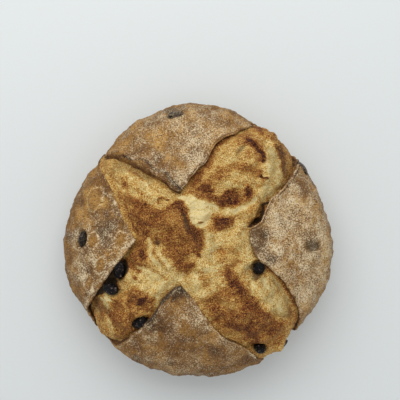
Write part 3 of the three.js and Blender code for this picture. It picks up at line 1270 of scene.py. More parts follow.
NORTH_FLAP = (
    (-80, 66), (-68, 90), (-40, 111), (1, 116), (43, 106), (53, 95), (33, 88), (19, 79), (9, 71),
    (4, 58), (-14, 39), (-31, 53), (-45, 60), (-60, 66),
)
NORTH_TOASTED_EDGE = (
    (-65, 70), (-59, 69), (-54, 67), (-49, 65), (-43, 63), (-37, 60), (-31, 57), (-26, 54),
    (-20, 48), (-14, 40), (-17, 40), (-23, 46), (-31, 50), (-41, 55), (-49, 60), (-58, 63),
    (-67, 65),
)
EAST_FLAP = (
    (49, 16), (54, 31), (79, 57), (98, 43), (109, 1), (109, -37), (86, -71), (79, -52), (68, -32),
    (49, -14), (38, 3), (40, 13),
)
EAST_TIP = (
    (40, 12), (49, 16), (54, 12), (55, -2), (59, -15), (54, -18), (46, -8), (40, 3),
)
HIDDEN_RAISIN = (
    (86, 0), (90, 2), (93, 0), (94, -5), (91, -10), (88, -9), (85, -4),
)
WEST_FLAP = (
    (-113, 0), (-105, 37), (-79, 61), (-68, 52), (-59, 30), (-49, 2), (-62, -15), (-84, -43),
    (-93, -58), (-104, -32),
)
SOUTH_FLAP = (
    (-65, -84), (-46, -68), (-29, -52), (-14, -33), (1, -53), (14, -68), (35, -80), (52, -95),
    (35, -116), (1, -121), (-40, -115),
)
# Edge of the south flap's tip along its groove, where shade is painted
SOUTH_TIP_EDGE = (
    (-7, -42), (-11, -37), (-15, -33), (-21, -37), (-26, -44), (-31, -50), (-35, -57), (-39, -61),
)
# Outline of the void under the west flap, where shade is painted
VOID_UNDER_WEST_FLAP = (
    (-60, -12), (-67, -17), (-73, -24), (-78, -33), (-84, -39), (-88, -46), (-84, -47), (-78, -41),
    (-72, -40), (-66, -41), (-62, -37), (-64, -32), (-66, -29), (-61, -27), (-56, -25), (-55, -19),
    (-57, -15),
)
# Outline of the crevice beside the east flap, where shade is painted
CREVICE_BESIDE_EAST_FLAP = (
    (53, 31), (55, 32), (53, 27), (52, 22), (51, 18), (47, 14), (41, 13), (39, 14), (45, 16),
    (48, 19), (49, 23), (51, 28),
)

# Pillows and hollows of the bloom
BLOOM_LUMPS = (
    Spot((65.8, 36.0), 31, 17, 35, 7.0),
    Spot((72.0, 55.0), 11, 4, 20, -2.5),
    Spot((56.7, 65.9), 13, 5, -50, 3.0),
    Spot((59.0, 83.0), 5, 4, 145, 5.0),
    Spot((54.4, 80.0), 4, 3, 145, 4.5),
    Spot((56.8, 81.0), 4, 1.6, 60, -3.0),
    Spot((49.5, 73.0), 12, 3.2, -45, -4.0),
    Spot((43.0, 73.0), 9, 4, -50, 3.5),
    Spot((-51.0, 73.0), 9, 7, 40, 4.0),
    Spot((44.8, 62.0), 6, 4.5, -55, 2.2),
    Spot((50.0, 70.0), 5, 4, 40, 1.8),
    Spot((118.8, 8.0), 24, 11, -70, 5.5),
    Spot((147.0, 24.6), 24, 13, -35, 4.0),
    Spot((106.0, 7.0), 17, 2.6, -67, -3.0),
    Spot((86.0, 13.6), 9, 8, 0, 3.5),
    Spot((77.0, 7.8), 8, 6, -60, 2.0),
    Spot((-3.0, 9.0), 17, 14, 60, 4.0),
    Spot((42.0, 11.7), 6, 4.5, 0, 2.2),
    Spot((-50.0, 30.6), 32, 17, -50, 6.5),
    Spot((-38.0, 40.0), 14, 6, -45, 2.0),
    Spot((-156.0, 13.6), 14, 10, -30, 3.0),
    Spot((-174.0, 24.0), 11, 6, -60, 3.0),
    Spot((-137.0, 28.5), 9, 7, -20, 3.0),
    Spot((-134.0, 50.0), 16, 11, 45, 4.0),
    Spot((133.4, 35.4), 16, 6, 145, 1.6),
    Spot((136.3, 62.0), 7, 5, 120, 2.2),
)

# Narrow hollows of the bloom, also beside raisins and under flaps
BLOOM_CLEFTS = (
    Spot((-60.4, 57.0), 6.4, 4.8, 30, -5.0),
    Spot((26.0, 28.0), 8, 2.4, 70, -9.0),
    Spot((21.0, 25.0), 5, 2.6, 20, -7.0),
    Spot((-25.0, 21.0), 4, 3, 55, -1.6),
    Spot((-158.0, 34.5), 10, 4.5, 60, -5.0),
    Spot((-155.0, 43.0), 8, 4.0, 50, -4.0),
)

# Tones of the bloom, from 0 for cream to 1 for scorched, and the darkest also painted shade in the
# crevice and the void, each patch over the ones before it
BLOOM_TONES = (
    # north-west arm
    Patch(0.3, 2.9, ((-68, 62), (-58, 63), (-41, 53), (-29, 44), (-17, 38), (-14, 34), (-22, 31),
        (-29, 27), (-39, 30), (-48, 36), (-56, 39), (-64, 49))),
    Patch(0.32, 2.3, ((-65, 60), (-55, 60), (-47, 50), (-40, 41), (-45, 36), (-55, 41), (-63, 50))),
    Patch(0.7, 1.7, ((-60, 47), (-56, 48), (-55, 44), (-58, 41), (-60, 43))),
    Patch(0.26, 2.3, ((-40, 47), (-28, 43), (-19, 37), (-20, 33), (-31, 30), (-39, 33), (-45, 39))),
    Patch(0.42, 2.9, ((-73, 46), (-64, 43), (-56, 33), (-59, 29), (-67, 36))),
    Patch(0.66, 2.1, ((-63, 39), (-54, 37), (-46, 29), (-40, 16), (-43, 4), (-47, 4), (-53, 16),
        (-59, 29))),
    Patch(0.22, 0.9, ((-60, 57), (-50, 49), (-40, 41), (-31, 34)), 1.5),
    Patch(0.46, 0.7, ((-62, 52), (-53, 44), (-43, 37)), 1),
    Patch(0.18, 0.9, ((-45, 49), (-36, 43), (-25, 36), (-17, 32)), 1.4),
    Patch(0.5, 0.7, ((-50, 54), (-40, 47), (-31, 41)), 0.9),
    Patch(0.26, 0.9, ((-64, 47), (-58, 40)), 1.2),
    Patch(0.74, 0.6, ((-31, 31), (-30, 35), (-26, 36), (-23, 34)), 0.7),
    # bright cream from the north tip to the east
    Patch(-0.06, 1.8, ((-17, 36), (-6, 37), (5, 34), (13, 30), (24, 27), (35, 31), (45, 36),
        (45, 31), (38, 26), (28, 22), (18, 23), (10, 24), (8, 16), (5, 12), (1, 11), (-4, 15),
        (-8, 23), (-9, 30))),
    Patch(0.1, 1.7, ((5, 31), (15, 27), (26, 26), (21, 23), (12, 24), (7, 27))),
    # toasted slab
    Patch(0.63, 1.1, ((-55, 36), (-45, 33), (-39, 29), (-32, 27), (-26, 25), (-22, 29), (-17, 32),
        (-12, 32), (-9, 27), (-8, 20), (-3, 13), (4, 10), (6, 6), (5, -1), (4, -7), (1, -10),
        (-3, -8), (-8, -10), (-11, -14), (-15, -16), (-22, -10), (-26, -4), (-29, 3), (-35, 3),
        (-39, 1), (-44, 2), (-46, 9), (-51, 19), (-56, 27))),
    Patch(0.76, 1.1, ((-21, 29), (-19, 32), (-15, 33), (-12, 32), (-10, 27), (-11, 24), (-14, 27),
        (-17, 29))),
    Patch(0.7, 2.3, ((-54, 33), (-45, 32), (-37, 28), (-34, 23), (-34, 15), (-40, 12), (-46, 16),
        (-51, 24))),
    Patch(0.76, 1.7, ((-36, 22), (-32, 23), (-31, 16), (-32, 12), (-36, 13))),
    Patch(0.5, 1.7, ((-37, 11), (-31, 12), (-30, 6), (-35, 5))),
    Patch(0.78, 1.4, ((-40, 12), (-37, 11), (-38, 3), (-42, 0), (-43, 6))),
    Patch(0.864, 1.8, ((-12, 27), (-9, 21), (-6, 13), (-2, 5), (1, -2), (1, -8)), 2.6),
    Patch(0.97, 0.9, ((-11, 24), (-9, 18), (-5, 11), (-2, 3), (1, -3)), 1.5),
    Patch(0.8, 2.9, ((-3, 10), (1, 3), (2, -5)), 4),
    Patch(0.55, 2.3, ((-9, 6), (-4, -2), (-6, -7), (-11, -3))),
    Patch(0.72, 1.6, ((-21, -10), (-15, -13), (-9, -16), (-3, -15), (-1, -17), (-4, -22),
        (-10, -23), (-15, -20), (-20, -15))),
    Patch(0.848, 1, ((-34, 2), (-31, 3), (-29, 1), (-32, -1), (-34, 0))),
    # below the west flap's tip
    Patch(0.68, 1.7, ((-45, 2), (-39, 1), (-39, -7), (-37, -14), (-39, -18), (-42, -22), (-46, -27),
        (-50, -22), (-55, -19), (-58, -15), (-54, -9), (-49, -3))),
    Patch(0.9, 0.9, ((-45, -3), (-42, -5), (-39, -11), (-40, -14), (-43, -13), (-45, -8))),
    # pale fold below the slab
    Patch(0.3, 1.7, ((-39, 0), (-35, -1), (-31, -7), (-34, -11), (-38, -8))),
    Patch(0.3, 1.6, ((-38, 0), (-34, -2), (-29, -5), (-25, -10), (-20, -16), (-15, -23), (-20, -28),
        (-28, -25), (-34, -17), (-38, -10))),
    Patch(0.38, 1.7, ((-37, -14), (-31, -20), (-25, -26)), 2),
    Patch(0.19, 2.3, ((-43, -25), (-37, -19), (-28, -22), (-20, -19), (-12, -25), (-6, -30),
        (-17, -33), (-22, -37), (-26, -42), (-31, -48), (-36, -44), (-40, -39), (-48, -35),
        (-53, -29), (-57, -25), (-55, -22), (-48, -27))),
    Patch(0.3, 2.1, ((-61, -32), (-53, -32), (-53, -38), (-59, -40), (-63, -37))),
    Patch(0.1, 0.8, ((-39, 3), (-38, -5), (-35, -13), (-29, -19)), 1.4),
    Patch(0.48, 0.7, ((-36, 1), (-34, -7), (-29, -14), (-24, -20)), 0.9),
    Patch(0.1, 0.8, ((-32, -2), (-28, -10), (-23, -17), (-20, -25)), 1.3),
    Patch(0.5, 0.7, ((-42, -14), (-37, -19), (-31, -22), (-25, -28)), 0.9),
    Patch(0.12, 0.8, ((-46, -19), (-39, -22), (-32, -27), (-28, -33)), 1.4),
    # painted shade in the void under the west flap
    Patch(1.3, 0.8, VOID_UNDER_WEST_FLAP),
    # south-west arm
    Patch(1, 0.9, ((-50, -26), (-48, -26), (-47, -28), (-50, -28))),
    Patch(0.67, 2.3, ((-56, -38), (-50, -32), (-46, -36), (-39, -40), (-34, -45), (-37, -53),
        (-45, -54), (-53, -53), (-57, -48))),
    Patch(1, 0.9, ((-49, -43), (-44, -42), (-39, -41), (-39, -44), (-43, -47), (-48, -47))),
    Patch(0.68, 2.1, ((-67, -45), (-60, -45), (-59, -52), (-64, -54), (-68, -50))),
    Patch(0.25, 1.7, ((-75, -39), (-69, -39), (-70, -47), (-74, -48))),
    Patch(0.64, 2.3, ((-77, -49), (-68, -54), (-56, -55), (-50, -57), (-50, -69), (-57, -78),
        (-66, -77), (-73, -67), (-78, -57))),
    Patch(0.2, 2.3, ((-74, -57), (-68, -60), (-65, -70), (-69, -74), (-73, -67))),
    Patch(0.64, 2.3, ((-65, -59), (-53, -60), (-53, -67), (-62, -70), (-67, -66))),
    Patch(0.6, 2.3, ((-83, -46), (-77, -45), (-75, -52), (-79, -56), (-84, -53))),
    Patch(-0.05, 0.6, ((-77, -45), (-74, -48), (-71, -52)), 0.9),
    Patch(-0.05, 0.6, ((-74, -44), (-70, -47)), 0.8),
    # painted shade at the end of the groove along the south flap's edge
    Patch(1.3, 0.6, ((-43, -59), (-40, -59), (-37, -61)), 1.2),
    # middle, right of the slab
    Patch(0.26, 3.4, ((6, 9), (24, 9), (38, 13), (41, -1), (44, -14), (37, -28), (23, -25),
        (21, -36), (8, -42), (-2, -44), (-11, -36), (-6, -25), (1, -16), (5, -5))),
    Patch(0.2, 2.1, ((9, 4), (8, -7), (4, -16)), 3),
    Patch(0.22, 2.1, ((18, 7), (14, 0)), 3),
    Patch(0.42, 2.3, ((16, -2), (26, 0), (31, -7), (31, -16), (23, -19), (17, -14), (14, -8))),
    Patch(0.2, 2.3, ((34, 0), (40, -1), (44, -13), (38, -19), (34, -11))),
    Patch(0.18, 2.9, ((-8, -25), (3, -17), (11, -19), (4, -31), (-2, -39), (-9, -34))),
    Patch(0.46, 2.1, ((1, -22), (6, -30), (8, -37)), 2),
    Patch(0.52, 1.7, ((17, -20), (24, -17), (31, -14)), 2),
    # beside the crevice
    Patch(0.44, 1.8, ((39, 28), (45, 29), (47, 19), (45, 16), (38, 16))),
    Patch(0.24, 2.3, ((29, 19), (38, 24), (39, 15), (32, 9), (27, 12))),
    # scorch in the middle
    Patch(0.72, 1.4, ((11, 19), (16, 20), (21, 19), (24, 20), (27, 19), (26, 13), (22, 10), (17, 9),
        (12, 11))),
    Patch(0.93, 0.9, ((16, 17), (20, 19), (23, 18), (22, 14), (18, 13), (16, 14))),
    # north-east pillow
    Patch(0.33, 1.8, ((-4, 49), (4, 56), (9, 64), (13, 72), (19, 79), (27, 86), (37, 88), (48, 83),
        (52, 76), (55, 71), (53, 65), (51, 57), (50, 50), (45, 44), (42, 37), (37, 34), (32, 32),
        (28, 30), (21, 30), (15, 32), (9, 36), (1, 36), (-2, 41))),
    Patch(0.32, 2.3, ((12, 66), (22, 64), (28, 60), (18, 56), (11, 52), (8, 56))),
    Patch(0.3, 2.3, ((26, 52), (37, 53), (40, 47), (32, 43), (21, 43), (18, 47))),
    Patch(0.58, 2.3, ((12, 52), (20, 56), (29, 60), (37, 57)), 3),
    Patch(0.56, 2.3, ((5, 46), (14, 49), (20, 52)), 2.5),
    Patch(0.72, 2.3, ((-3, 47), (3, 55), (8, 64), (12, 72), (18, 79), (26, 85)), 3),
    Patch(0.54, 2.9, ((31, 85), (43, 86), (51, 79), (50, 74), (42, 79), (36, 81), (31, 79))),
    Patch(0.6, 1.8, ((30, 80), (38, 82), (41, 78), (34, 75), (30, 75))),
    Patch(0.54, 2.3, ((38, 72), (47, 73), (53, 67), (50, 64), (42, 65), (37, 66))),
    Patch(0.58, 2.3, ((37, 61), (45, 60), (51, 55), (46, 49), (40, 50), (36, 57))),
    Patch(0.62, 1.8, ((1, 37), (11, 35), (20, 30), (29, 30), (37, 34)), 3),
    Patch(0.74, 1.8, ((14, 35), (17, 29)), 2),
    Patch(0.7, 2.1, ((-2, 41), (2, 46), (8, 45), (13, 39), (11, 34), (4, 35), (-1, 36))),
    Patch(0.854, 1.1, ((-1, 42), (3, 46), (8, 45), (11, 42), (11, 38), (8, 36), (3, 38))),
    Patch(0.7, 2.1, ((16, 33), (20, 39), (27, 43), (34, 41), (36, 35), (31, 29), (23, 29),
        (18, 30))),
    Patch(0.854, 1, ((17, 35), (21, 39), (28, 40), (32, 36), (31, 32), (24, 29), (18, 31))),
    Patch(0.838, 1.6, ((36, 43), (39, 44), (42, 39), (41, 35), (37, 36))),
    Patch(0.68, 1.8, ((38, 80), (43, 77), (48, 73), (50, 66)), 3.4),
    Patch(0.98, 0.8, ((38, 81), (42, 79), (45, 76)), 1.6),
    Patch(0.93, 0.7, ((46, 74), (49, 70), (50, 65)), 1.3),
    # rim of the north-east end
    Patch(0.5, 2.3, ((33, 90), (47, 95), (60, 91), (68, 83), (78, 73), (82, 64), (73, 59), (67, 67),
        (62, 75), (54, 83), (46, 88), (38, 87))),
    Patch(0.8, 1.6, ((42, 94), (48, 92), (52, 87), (56, 81)), 1.6),
    Patch(0.813, 1.4, ((60, 87), (60, 82), (65, 77)), 1.4),
    Patch(0.72, 1.6, ((64, 80), (66, 73), (68, 67)), 1.8),
    Patch(0.62, 1.6, ((70, 65), (70, 59), (68, 53)), 1.6),
    Patch(0.3, 1.8, ((53, 83), (59, 80), (62, 73), (57, 73), (53, 77))),
    # pale side of the pillow, with painted shade in the olive valley by the rim
    Patch(0.17, 2.1, ((49, 41), (54, 48), (54, 57), (51, 62), (53, 71), (58, 75), (63, 72),
        (66, 63), (67, 53), (66, 46), (60, 40), (54, 36), (49, 32), (45, 36))),
    Patch(0.1, 2.3, ((51, 57), (55, 55), (54, 49), (50, 49))),
    Patch(0.46, 1.7, ((69, 68), (74, 67), (78, 59), (72, 51), (67, 47), (69, 57))),
    # painted shade in the valley between the pillow and the rim
    Patch(0.74, 1.1, ((64, 76), (67, 71), (68, 63), (68, 57)), 1.8),
    Patch(0.54, 2.1, ((52, 92), (61, 89), (69, 81), (73, 72), (66, 75), (59, 80), (53, 83))),
    Patch(0.5, 1.7, ((71, 60), (78, 59), (75, 56), (71, 51), (69, 52))),
    Patch(1.1, 0.7, ((49, 52), (51, 50), (55, 50)), 0.9),
    # crevice beside the east flap
    # painted shade in the crevice
    Patch(1.3, 0.6, CREVICE_BESIDE_EAST_FLAP),
    Patch(0.7, 0.6, ((1, 16), (4, 16)), 0.6),
    # south-east arm
    Patch(0.66, 2.5, ((8, -41), (18, -36), (23, -32), (21, -24), (25, -21), (32, -24), (31, -30),
        (38, -35), (42, -41), (47, -47), (53, -52), (59, -59), (66, -61), (71, -69), (69, -76),
        (65, -82), (58, -85), (51, -88), (45, -83), (37, -77), (30, -74), (22, -71), (15, -64),
        (10, -55), (6, -47))),
    Patch(0.832, 2.1, ((22, -23), (24, -30), (31, -34), (35, -38)), 3.2),
    Patch(0.813, 2.9, ((24, -64), (33, -65), (40, -65), (47, -61), (54, -55)), 3.5),
    Patch(0.8, 2.9, ((37, -44), (46, -47), (51, -54), (50, -60), (40, -58), (37, -52))),
    Patch(0.48, 2.5, ((18, -43), (31, -42), (35, -47), (29, -52), (20, -52), (14, -47))),
    Patch(0.74, 2.9, ((50, -60), (61, -62), (68, -67), (67, -74), (57, -74), (48, -69))),
    Patch(0.8, 2.3, ((40, -68), (45, -73), (46, -79)), 3),
    Patch(0.5, 2.9, ((53, -74), (64, -77), (66, -83), (60, -88), (52, -83))),
    Patch(0.5, 2.3, ((20, -71), (30, -74), (37, -77), (37, -72), (28, -69), (22, -65))),
    Patch(0.22, 2.9, ((41, -29), (49, -29), (56, -25), (63, -30), (67, -38), (69, -48), (68, -59),
        (62, -60), (55, -55), (50, -49), (45, -42), (40, -36))),
    Patch(0.17, 2.3, ((51, -43), (57, -44), (60, -51), (55, -52), (51, -49))),
    Patch(0.3, 2.3, ((64, -30), (70, -39), (72, -50), (69, -60), (66, -50), (65, -40))),
    Patch(0.08, 0.9, ((45, -25), (53, -32), (60, -42), (64, -52)), 1.6),
    Patch(0.36, 0.8, ((51, -22), (60, -32), (67, -43)), 1.1),
    Patch(0.2, 0.9, ((57, -22), (65, -32), (70, -43)), 1.2),
    Patch(0.12, 0.9, ((41, -30), (49, -38), (56, -47)), 1.2),
    # raisin print in the middle of the south-east arm
    Patch(0.6, 0.9, ((41, -23), (45, -21), (49, -25), (48, -29), (44, -30))),
    # cut face under the east flap
    Patch(0.62, 1.7, ((49, -14), (57, -22), (64, -28), (70, -35), (74, -44), (79, -53)), 2.4),
    Patch(0.58, 1.8, ((71, -52), (79, -53), (81, -61), (78, -70), (72, -70))),
)

# Places in the bloom that a raisin darkened, and painted shade in the crevice beside the east flap,
# the void under the west flap, and valleys and recesses beside the flaps and the north-east pillow
BLOOM_STAINS_AND_SHADE = (
    Patch(0.8, 1.5, ((29, 71), (34, 75), (39, 77), (37, 73), (32, 69), (28, 68))),
    Patch(0.34, 3, ((55, 73), (67, 74), (73, 57), (67, 43), (57, 36), (49, 33), (51, 44), (58, 52),
        (57, 65))),
    Patch(0.62, 1.2, ((63, 80), (67, 73), (69, 64), (68, 55)), 2.2),
    Patch(0.3, 2, ((61, 90), (73, 76), (74, 67), (69, 70), (61, 80))),
    Patch(0.8, 1.5, ((41, -23), (45, -22), (48, -26), (45, -30), (41, -28))),
    Patch(0.45, 2, ((34, -17), (41, -16), (41, -25), (37, -28), (34, -23))),
    Patch(0.8, 3, ((57, -26), (65, -32), (70, -45), (69, -60), (64, -50), (60, -38))),
    Patch(0.3, 3, ((48, -25), (67, -38), (71, -55), (61, -58), (49, -41))),
    Patch(0.95, 0.9, ((42, -24), (45, -21), (49, -25), (47, -29), (43, -29))),
    Patch(0.55, 2, ((67, -38), (74, -47), (74, -62), (70, -60), (69, -48))),
    Patch(0.55, 1.8, ((-82, -45), (-76, -45), (-74, -52), (-78, -57), (-83, -54))),
    Patch(0.6, 1.5, ((-76, -46), (-68, -53), (-71, -57), (-76, -54))),
    Patch(0.45, 1.5, ((-68, -23), (-57, -29), (-59, -33), (-67, -29))),
    Patch(0.7, 1.2, ((-35, 3), (-31, 4), (-28, 1), (-32, -2), (-34, -1))),
    Patch(0.95, 0.7, CREVICE_BESIDE_EAST_FLAP),
    Patch(0.95, 0.9, VOID_UNDER_WEST_FLAP),
    Patch(0.7, 1.3, ((-11, 21), (-8, 12)), 2),
    Patch(0.35, 1.6, ((-5, 9), (1, -3)), 1.6),
    Patch(0.45, 2.5, ((-39, 58), (-55, 63), (-68, 63), (-68, 55), (-55, 57), (-45, 50), (-36, 46))),
    Patch(0.35, 2, ((11, 9), (14, -5), (9, -14), (6, -5))),
)

# Low swellings of the sides
CRUST_LUMPS = (
    Spot((-3.0, 50.5), 9, 7, 60, 1.4),
    Spot((-168.0, 62.0), 8, 6, 70, 1.2),
    Spot((75.0, 104.0), 7, 5, 0, 1.6),
    Spot((-88.0, 108.0), 7, 6, 0, 1.6),
    Spot((160.0, 100.0), 7, 5, 90, 1.6),
    Spot((5.0, 112.0), 8, 5, 90, 1.6),
)

# Blisters of the skin, each with its strength
CRUST_BLISTERS = (
    Spot((176.3, 29.8), 5.8, 4.4, 75, 1.0),
    Spot((-167.8, 41.2), 6.0, 4.0, 65, 1.0),
    Spot((178.2, 45.8), 6.0, 4.6, 80, 1.0),
    Spot((-160.3, 53.0), 5.4, 3.8, 85, 0.8),
    Spot((156.3, 53.7), 9.0, 7.0, 70, 0.8),
    Spot((114.7, 52.4), 4.2, 3.2, 20, 0.3),
    Spot((96.5, 37.0), 4.0, 3.2, 0, 0.35),
    Spot((98.0, 50.0), 4.2, 3.0, 0, 0.35),
    Spot((-3.0, 40.5), 3.6, 3.0, 30, 0.35),
    Spot((-174.4, 36.4), 3.4, 2.4, 0, 0.7),
)

# Tones of the crust, from 0 for pale gold to 1 for scorched; the darkest also paint shade in the
# groove along the south flap's tip
CRUST_TONES = (
    # north flap
    Patch(0.49, 6, NORTH_FLAP),
    Patch(0.6, 3, ((-59, 75), (-46, 76), (-30, 71), (-23, 58), (-30, 55), (-41, 61), (-52, 66))),
    Patch(0.56, 2.5, ((-32, 89), (-24, 90), (-20, 79), (-25, 71), (-31, 77))),
    Patch(0.34, 1.8, ((-16, 92), (-10, 92), (-9, 87), (-14, 86))),
    Patch(0.34, 1.8, ((-14, 75), (-8, 73), (-9, 67), (-14, 67))),
    Patch(0.54, 3, ((-2, 104), (19, 104), (20, 93), (8, 92), (-2, 95))),
    Patch(0.4, 3, ((24, 99), (40, 98), (38, 91), (24, 92))),
    Patch(0.42, 2.5, ((-41, 84), (-27, 84), (-27, 75), (-41, 76))),
    Patch(0.6, 2.5, ((-31, 66), (-22, 66), (-17, 56), (-25, 52), (-30, 58))),
    Patch(0.68, 0.9, NORTH_TOASTED_EDGE),
    Patch(0.95, 0.6, ((-60, 70), (-54, 68), (-49, 66), (-43, 63), (-37, 60), (-31, 58), (-26, 55),
        (-20, 49), (-15, 42)), 0.8),
    # east flap
    Patch(0.48, 6, EAST_FLAP),
    Patch(0.73, 3, EAST_TIP),
    Patch(0.84, 1.6, ((48, 13), (54, 13), (54, 5), (48, 4))),
    Patch(0.76, 1.6, ((60, 22), (66, 22), (67, 15), (61, 15))),
    Patch(0.6, 2.5, ((79, 48), (90, 46), (89, 36), (80, 35))),
    Patch(0.64, 2.5, ((71, -20), (78, -23), (79, -33), (72, -32))),
    Patch(0.38, 2, ((65, 1), (73, 2), (73, -4), (66, -5))),
    Patch(0.36, 2.5, ((67, -9), (73, -9), (73, -15), (67, -16))),
    Patch(0.58, 2, ((74, -34), (82, -36), (82, -44), (75, -43))),
    Patch(0.66, 2, ((95, -8), (100, -9), (102, -18), (95, -17))),
    Patch(0.4, 3, ((96, 33), (103, 16), (105, -7), (106, -41), (95, -47), (98, -7))),
    # west flap
    Patch(0.54, 6, WEST_FLAP),
    Patch(0.35, 3, ((-94, 41), (-78, 46), (-62, 36), (-59, 27), (-70, 24), (-90, 24))),
    Patch(0.66, 2.5, ((-81, 41), (-73, 44), (-67, 33), (-59, 22), (-64, 16), (-72, 29))),
    Patch(0.68, 2.5, ((-81, 16), (-67, 18), (-62, 9), (-65, -4), (-76, -6), (-81, 5))),
    Patch(0.88, 1.8, ((-74, 26), (-69, 26), (-69, 19), (-73, 19))),
    Patch(0.58, 3, ((-113, 25), (-107, 33), (-101, 1), (-102, -31), (-112, -25))),
    Patch(0.6, 2.5, ((-93, -8), (-85, -7), (-82, -23), (-89, -30), (-94, -21))),
    # south flap, its darker ground tone in part painted shade, as it faces away from the light
    Patch(0.61, 6, SOUTH_FLAP),
    Patch(0.92, 1.6, ((-22, -38), (-15, -33), (-8, -40), (-11, -45), (-19, -46))),
    # painted shade in the groove along the tip's edge
    Patch(0.98, 0.8, SOUTH_TIP_EDGE, 1.5),
    Patch(0.57, 3, ((-20, -47), (-2, -48), (0, -56), (-14, -58), (-22, -53))),
    Patch(0.64, 3, ((-38, -73), (-11, -72), (-10, -93), (-34, -96))),
    Patch(0.71, 2, ((3, -79), (12, -79), (12, -89), (1, -89))),
    Patch(0.55, 3, ((-27, -66), (-17, -66), (-16, -72), (-25, -73))),
    Patch(0.56, 3, ((19, -84), (38, -85), (38, -99), (21, -99))),
    Patch(0.54, 3, ((-47, -72), (-36, -68), (-33, -80), (-43, -84))),
)

# Flour on the crust, from 0 for none to 1 for thick
CRUST_FLOUR = (
    # north flap
    Patch(0.5, 6, NORTH_FLAP),
    Patch(0.85, 4, ((-19, 87), (-6, 92), (12, 88), (20, 85), (11, 75), (6, 63), (-3, 52), (-11, 58),
        (-16, 72))),
    Patch(0.8, 3, ((-36, 58), (-25, 55), (-17, 56), (-6, 50), (-14, 39), (-25, 47))),
    Patch(0.3, 4, ((-60, 87), (-38, 91), (-24, 72), (-22, 61), (-38, 63), (-54, 69))),
    Patch(0.55, 4, ((-7, 107), (35, 106), (42, 94), (19, 93), (-2, 95))),
    Patch(0.12, 4, ((-76, 65), (-70, 79), (-60, 85), (-56, 74), (-59, 66))),
    Patch(0.75, 3, ((-33, 103), (-11, 100), (-11, 93), (-29, 94))),
    Patch(0.06, 0.9, NORTH_TOASTED_EDGE),
    # east flap
    Patch(0.72, 6, EAST_FLAP),
    Patch(0.9, 3, ((54, 30), (72, 43), (78, 29), (76, 5), (67, 2), (57, 12), (54, 19))),
    Patch(1.3, 2, ((58, -1), (63, 0), (67, -6), (63, -11), (59, -7))),
    Patch(0.95, 3, ((82, 31), (91, 31), (91, 17), (82, 19))),
    Patch(0.8, 3, ((67, 12), (80, 14), (81, -3), (71, -7), (67, 1))),
    Patch(0.42, 3, EAST_TIP),
    Patch(0.85, 4, ((96, 41), (104, 21), (109, -8), (108, -41), (94, -53), (95, -22), (97, 9))),
    Patch(0.45, 4, ((78, 52), (90, 46), (91, 35), (80, 35))),
    Patch(0.85, 3, ((52, -15), (67, -19), (77, -37), (74, -42), (63, -29))),
    Patch(0.05, 1.5, HIDDEN_RAISIN),
    Patch(1.1, 0.9, ((95, 6), (97, -1), (96, -7)), 0.9),
    Patch(1.1, 2, ((80, -11), (88, -12), (90, -21), (82, -23))),
    Patch(1.05, 2, ((82, -34), (90, -33), (92, -43), (85, -44))),
    Patch(0.3, 1.6, ((70, -15), (76, -14), (79, -23), (72, -26))),
    # west flap
    Patch(0.42, 6, WEST_FLAP),
    Patch(0.04, 4, ((-107, 33), (-82, 56), (-64, 46), (-57, 27), (-70, 22), (-90, 21), (-99, 14))),
    Patch(0.38, 3, ((-78, 16), (-59, 21), (-51, 4), (-60, -5), (-76, -6))),
    Patch(0.95, 1.4, ((-51, 0), (-60, -8), (-70, -20), (-78, -31), (-86, -43), (-90, -52)), 1.9),
    Patch(1.3, 1.6, ((-85, -8), (-79, -9), (-80, -20), (-85, -19))),
    Patch(1.05, 2, ((-100, -13), (-94, -11), (-88, -27), (-91, -37), (-97, -27))),
    Patch(0.9, 1.4, ((-101, 8), (-96, 11), (-95, 6), (-97, -2), (-95, -6), (-100, -7))),
    Patch(0.1, 3, ((-113, 25), (-108, 30), (-104, 1), (-106, -28), (-113, -21))),
    Patch(0.6, 0.9, ((-74, 41), (-69, 34), (-62, 26), (-56, 17), (-49, 5)), 0.9),
    # south flap, thinly floured, in part to paint the shade on this side
    Patch(0.21, 6, SOUTH_FLAP),
    Patch(0.75, 2.5, ((-8, -50), (1, -56), (9, -66), (1, -69), (-8, -61))),
    Patch(0.8, 1, ((-8, -44), (1, -54), (9, -65), (15, -72), (25, -77), (36, -82), (48, -93)), 1),
    Patch(0.8, 1, ((-9, -46), (-16, -46), (-21, -48), (-26, -54), (-32, -60), (-39, -66),
        (-46, -71)), 0.9),
    # no flour where shade is painted in the groove
    Patch(0, 0.8, SOUTH_TIP_EDGE, 1.7),
    Patch(0.42, 4, ((-50, -86), (-14, -95), (13, -97), (41, -91), (41, -119), (1, -126),
        (-47, -119))),
    Patch(0.65, 2.5, ((14, -72), (30, -80), (36, -85), (23, -86), (14, -79))),
    Patch(0.6, 2.5, ((-46, -70), (-33, -68), (-31, -78), (-41, -84))),
    Patch(0, 2, ((-20, -39), (-9, -39), (-8, -47), (-20, -48))),
)

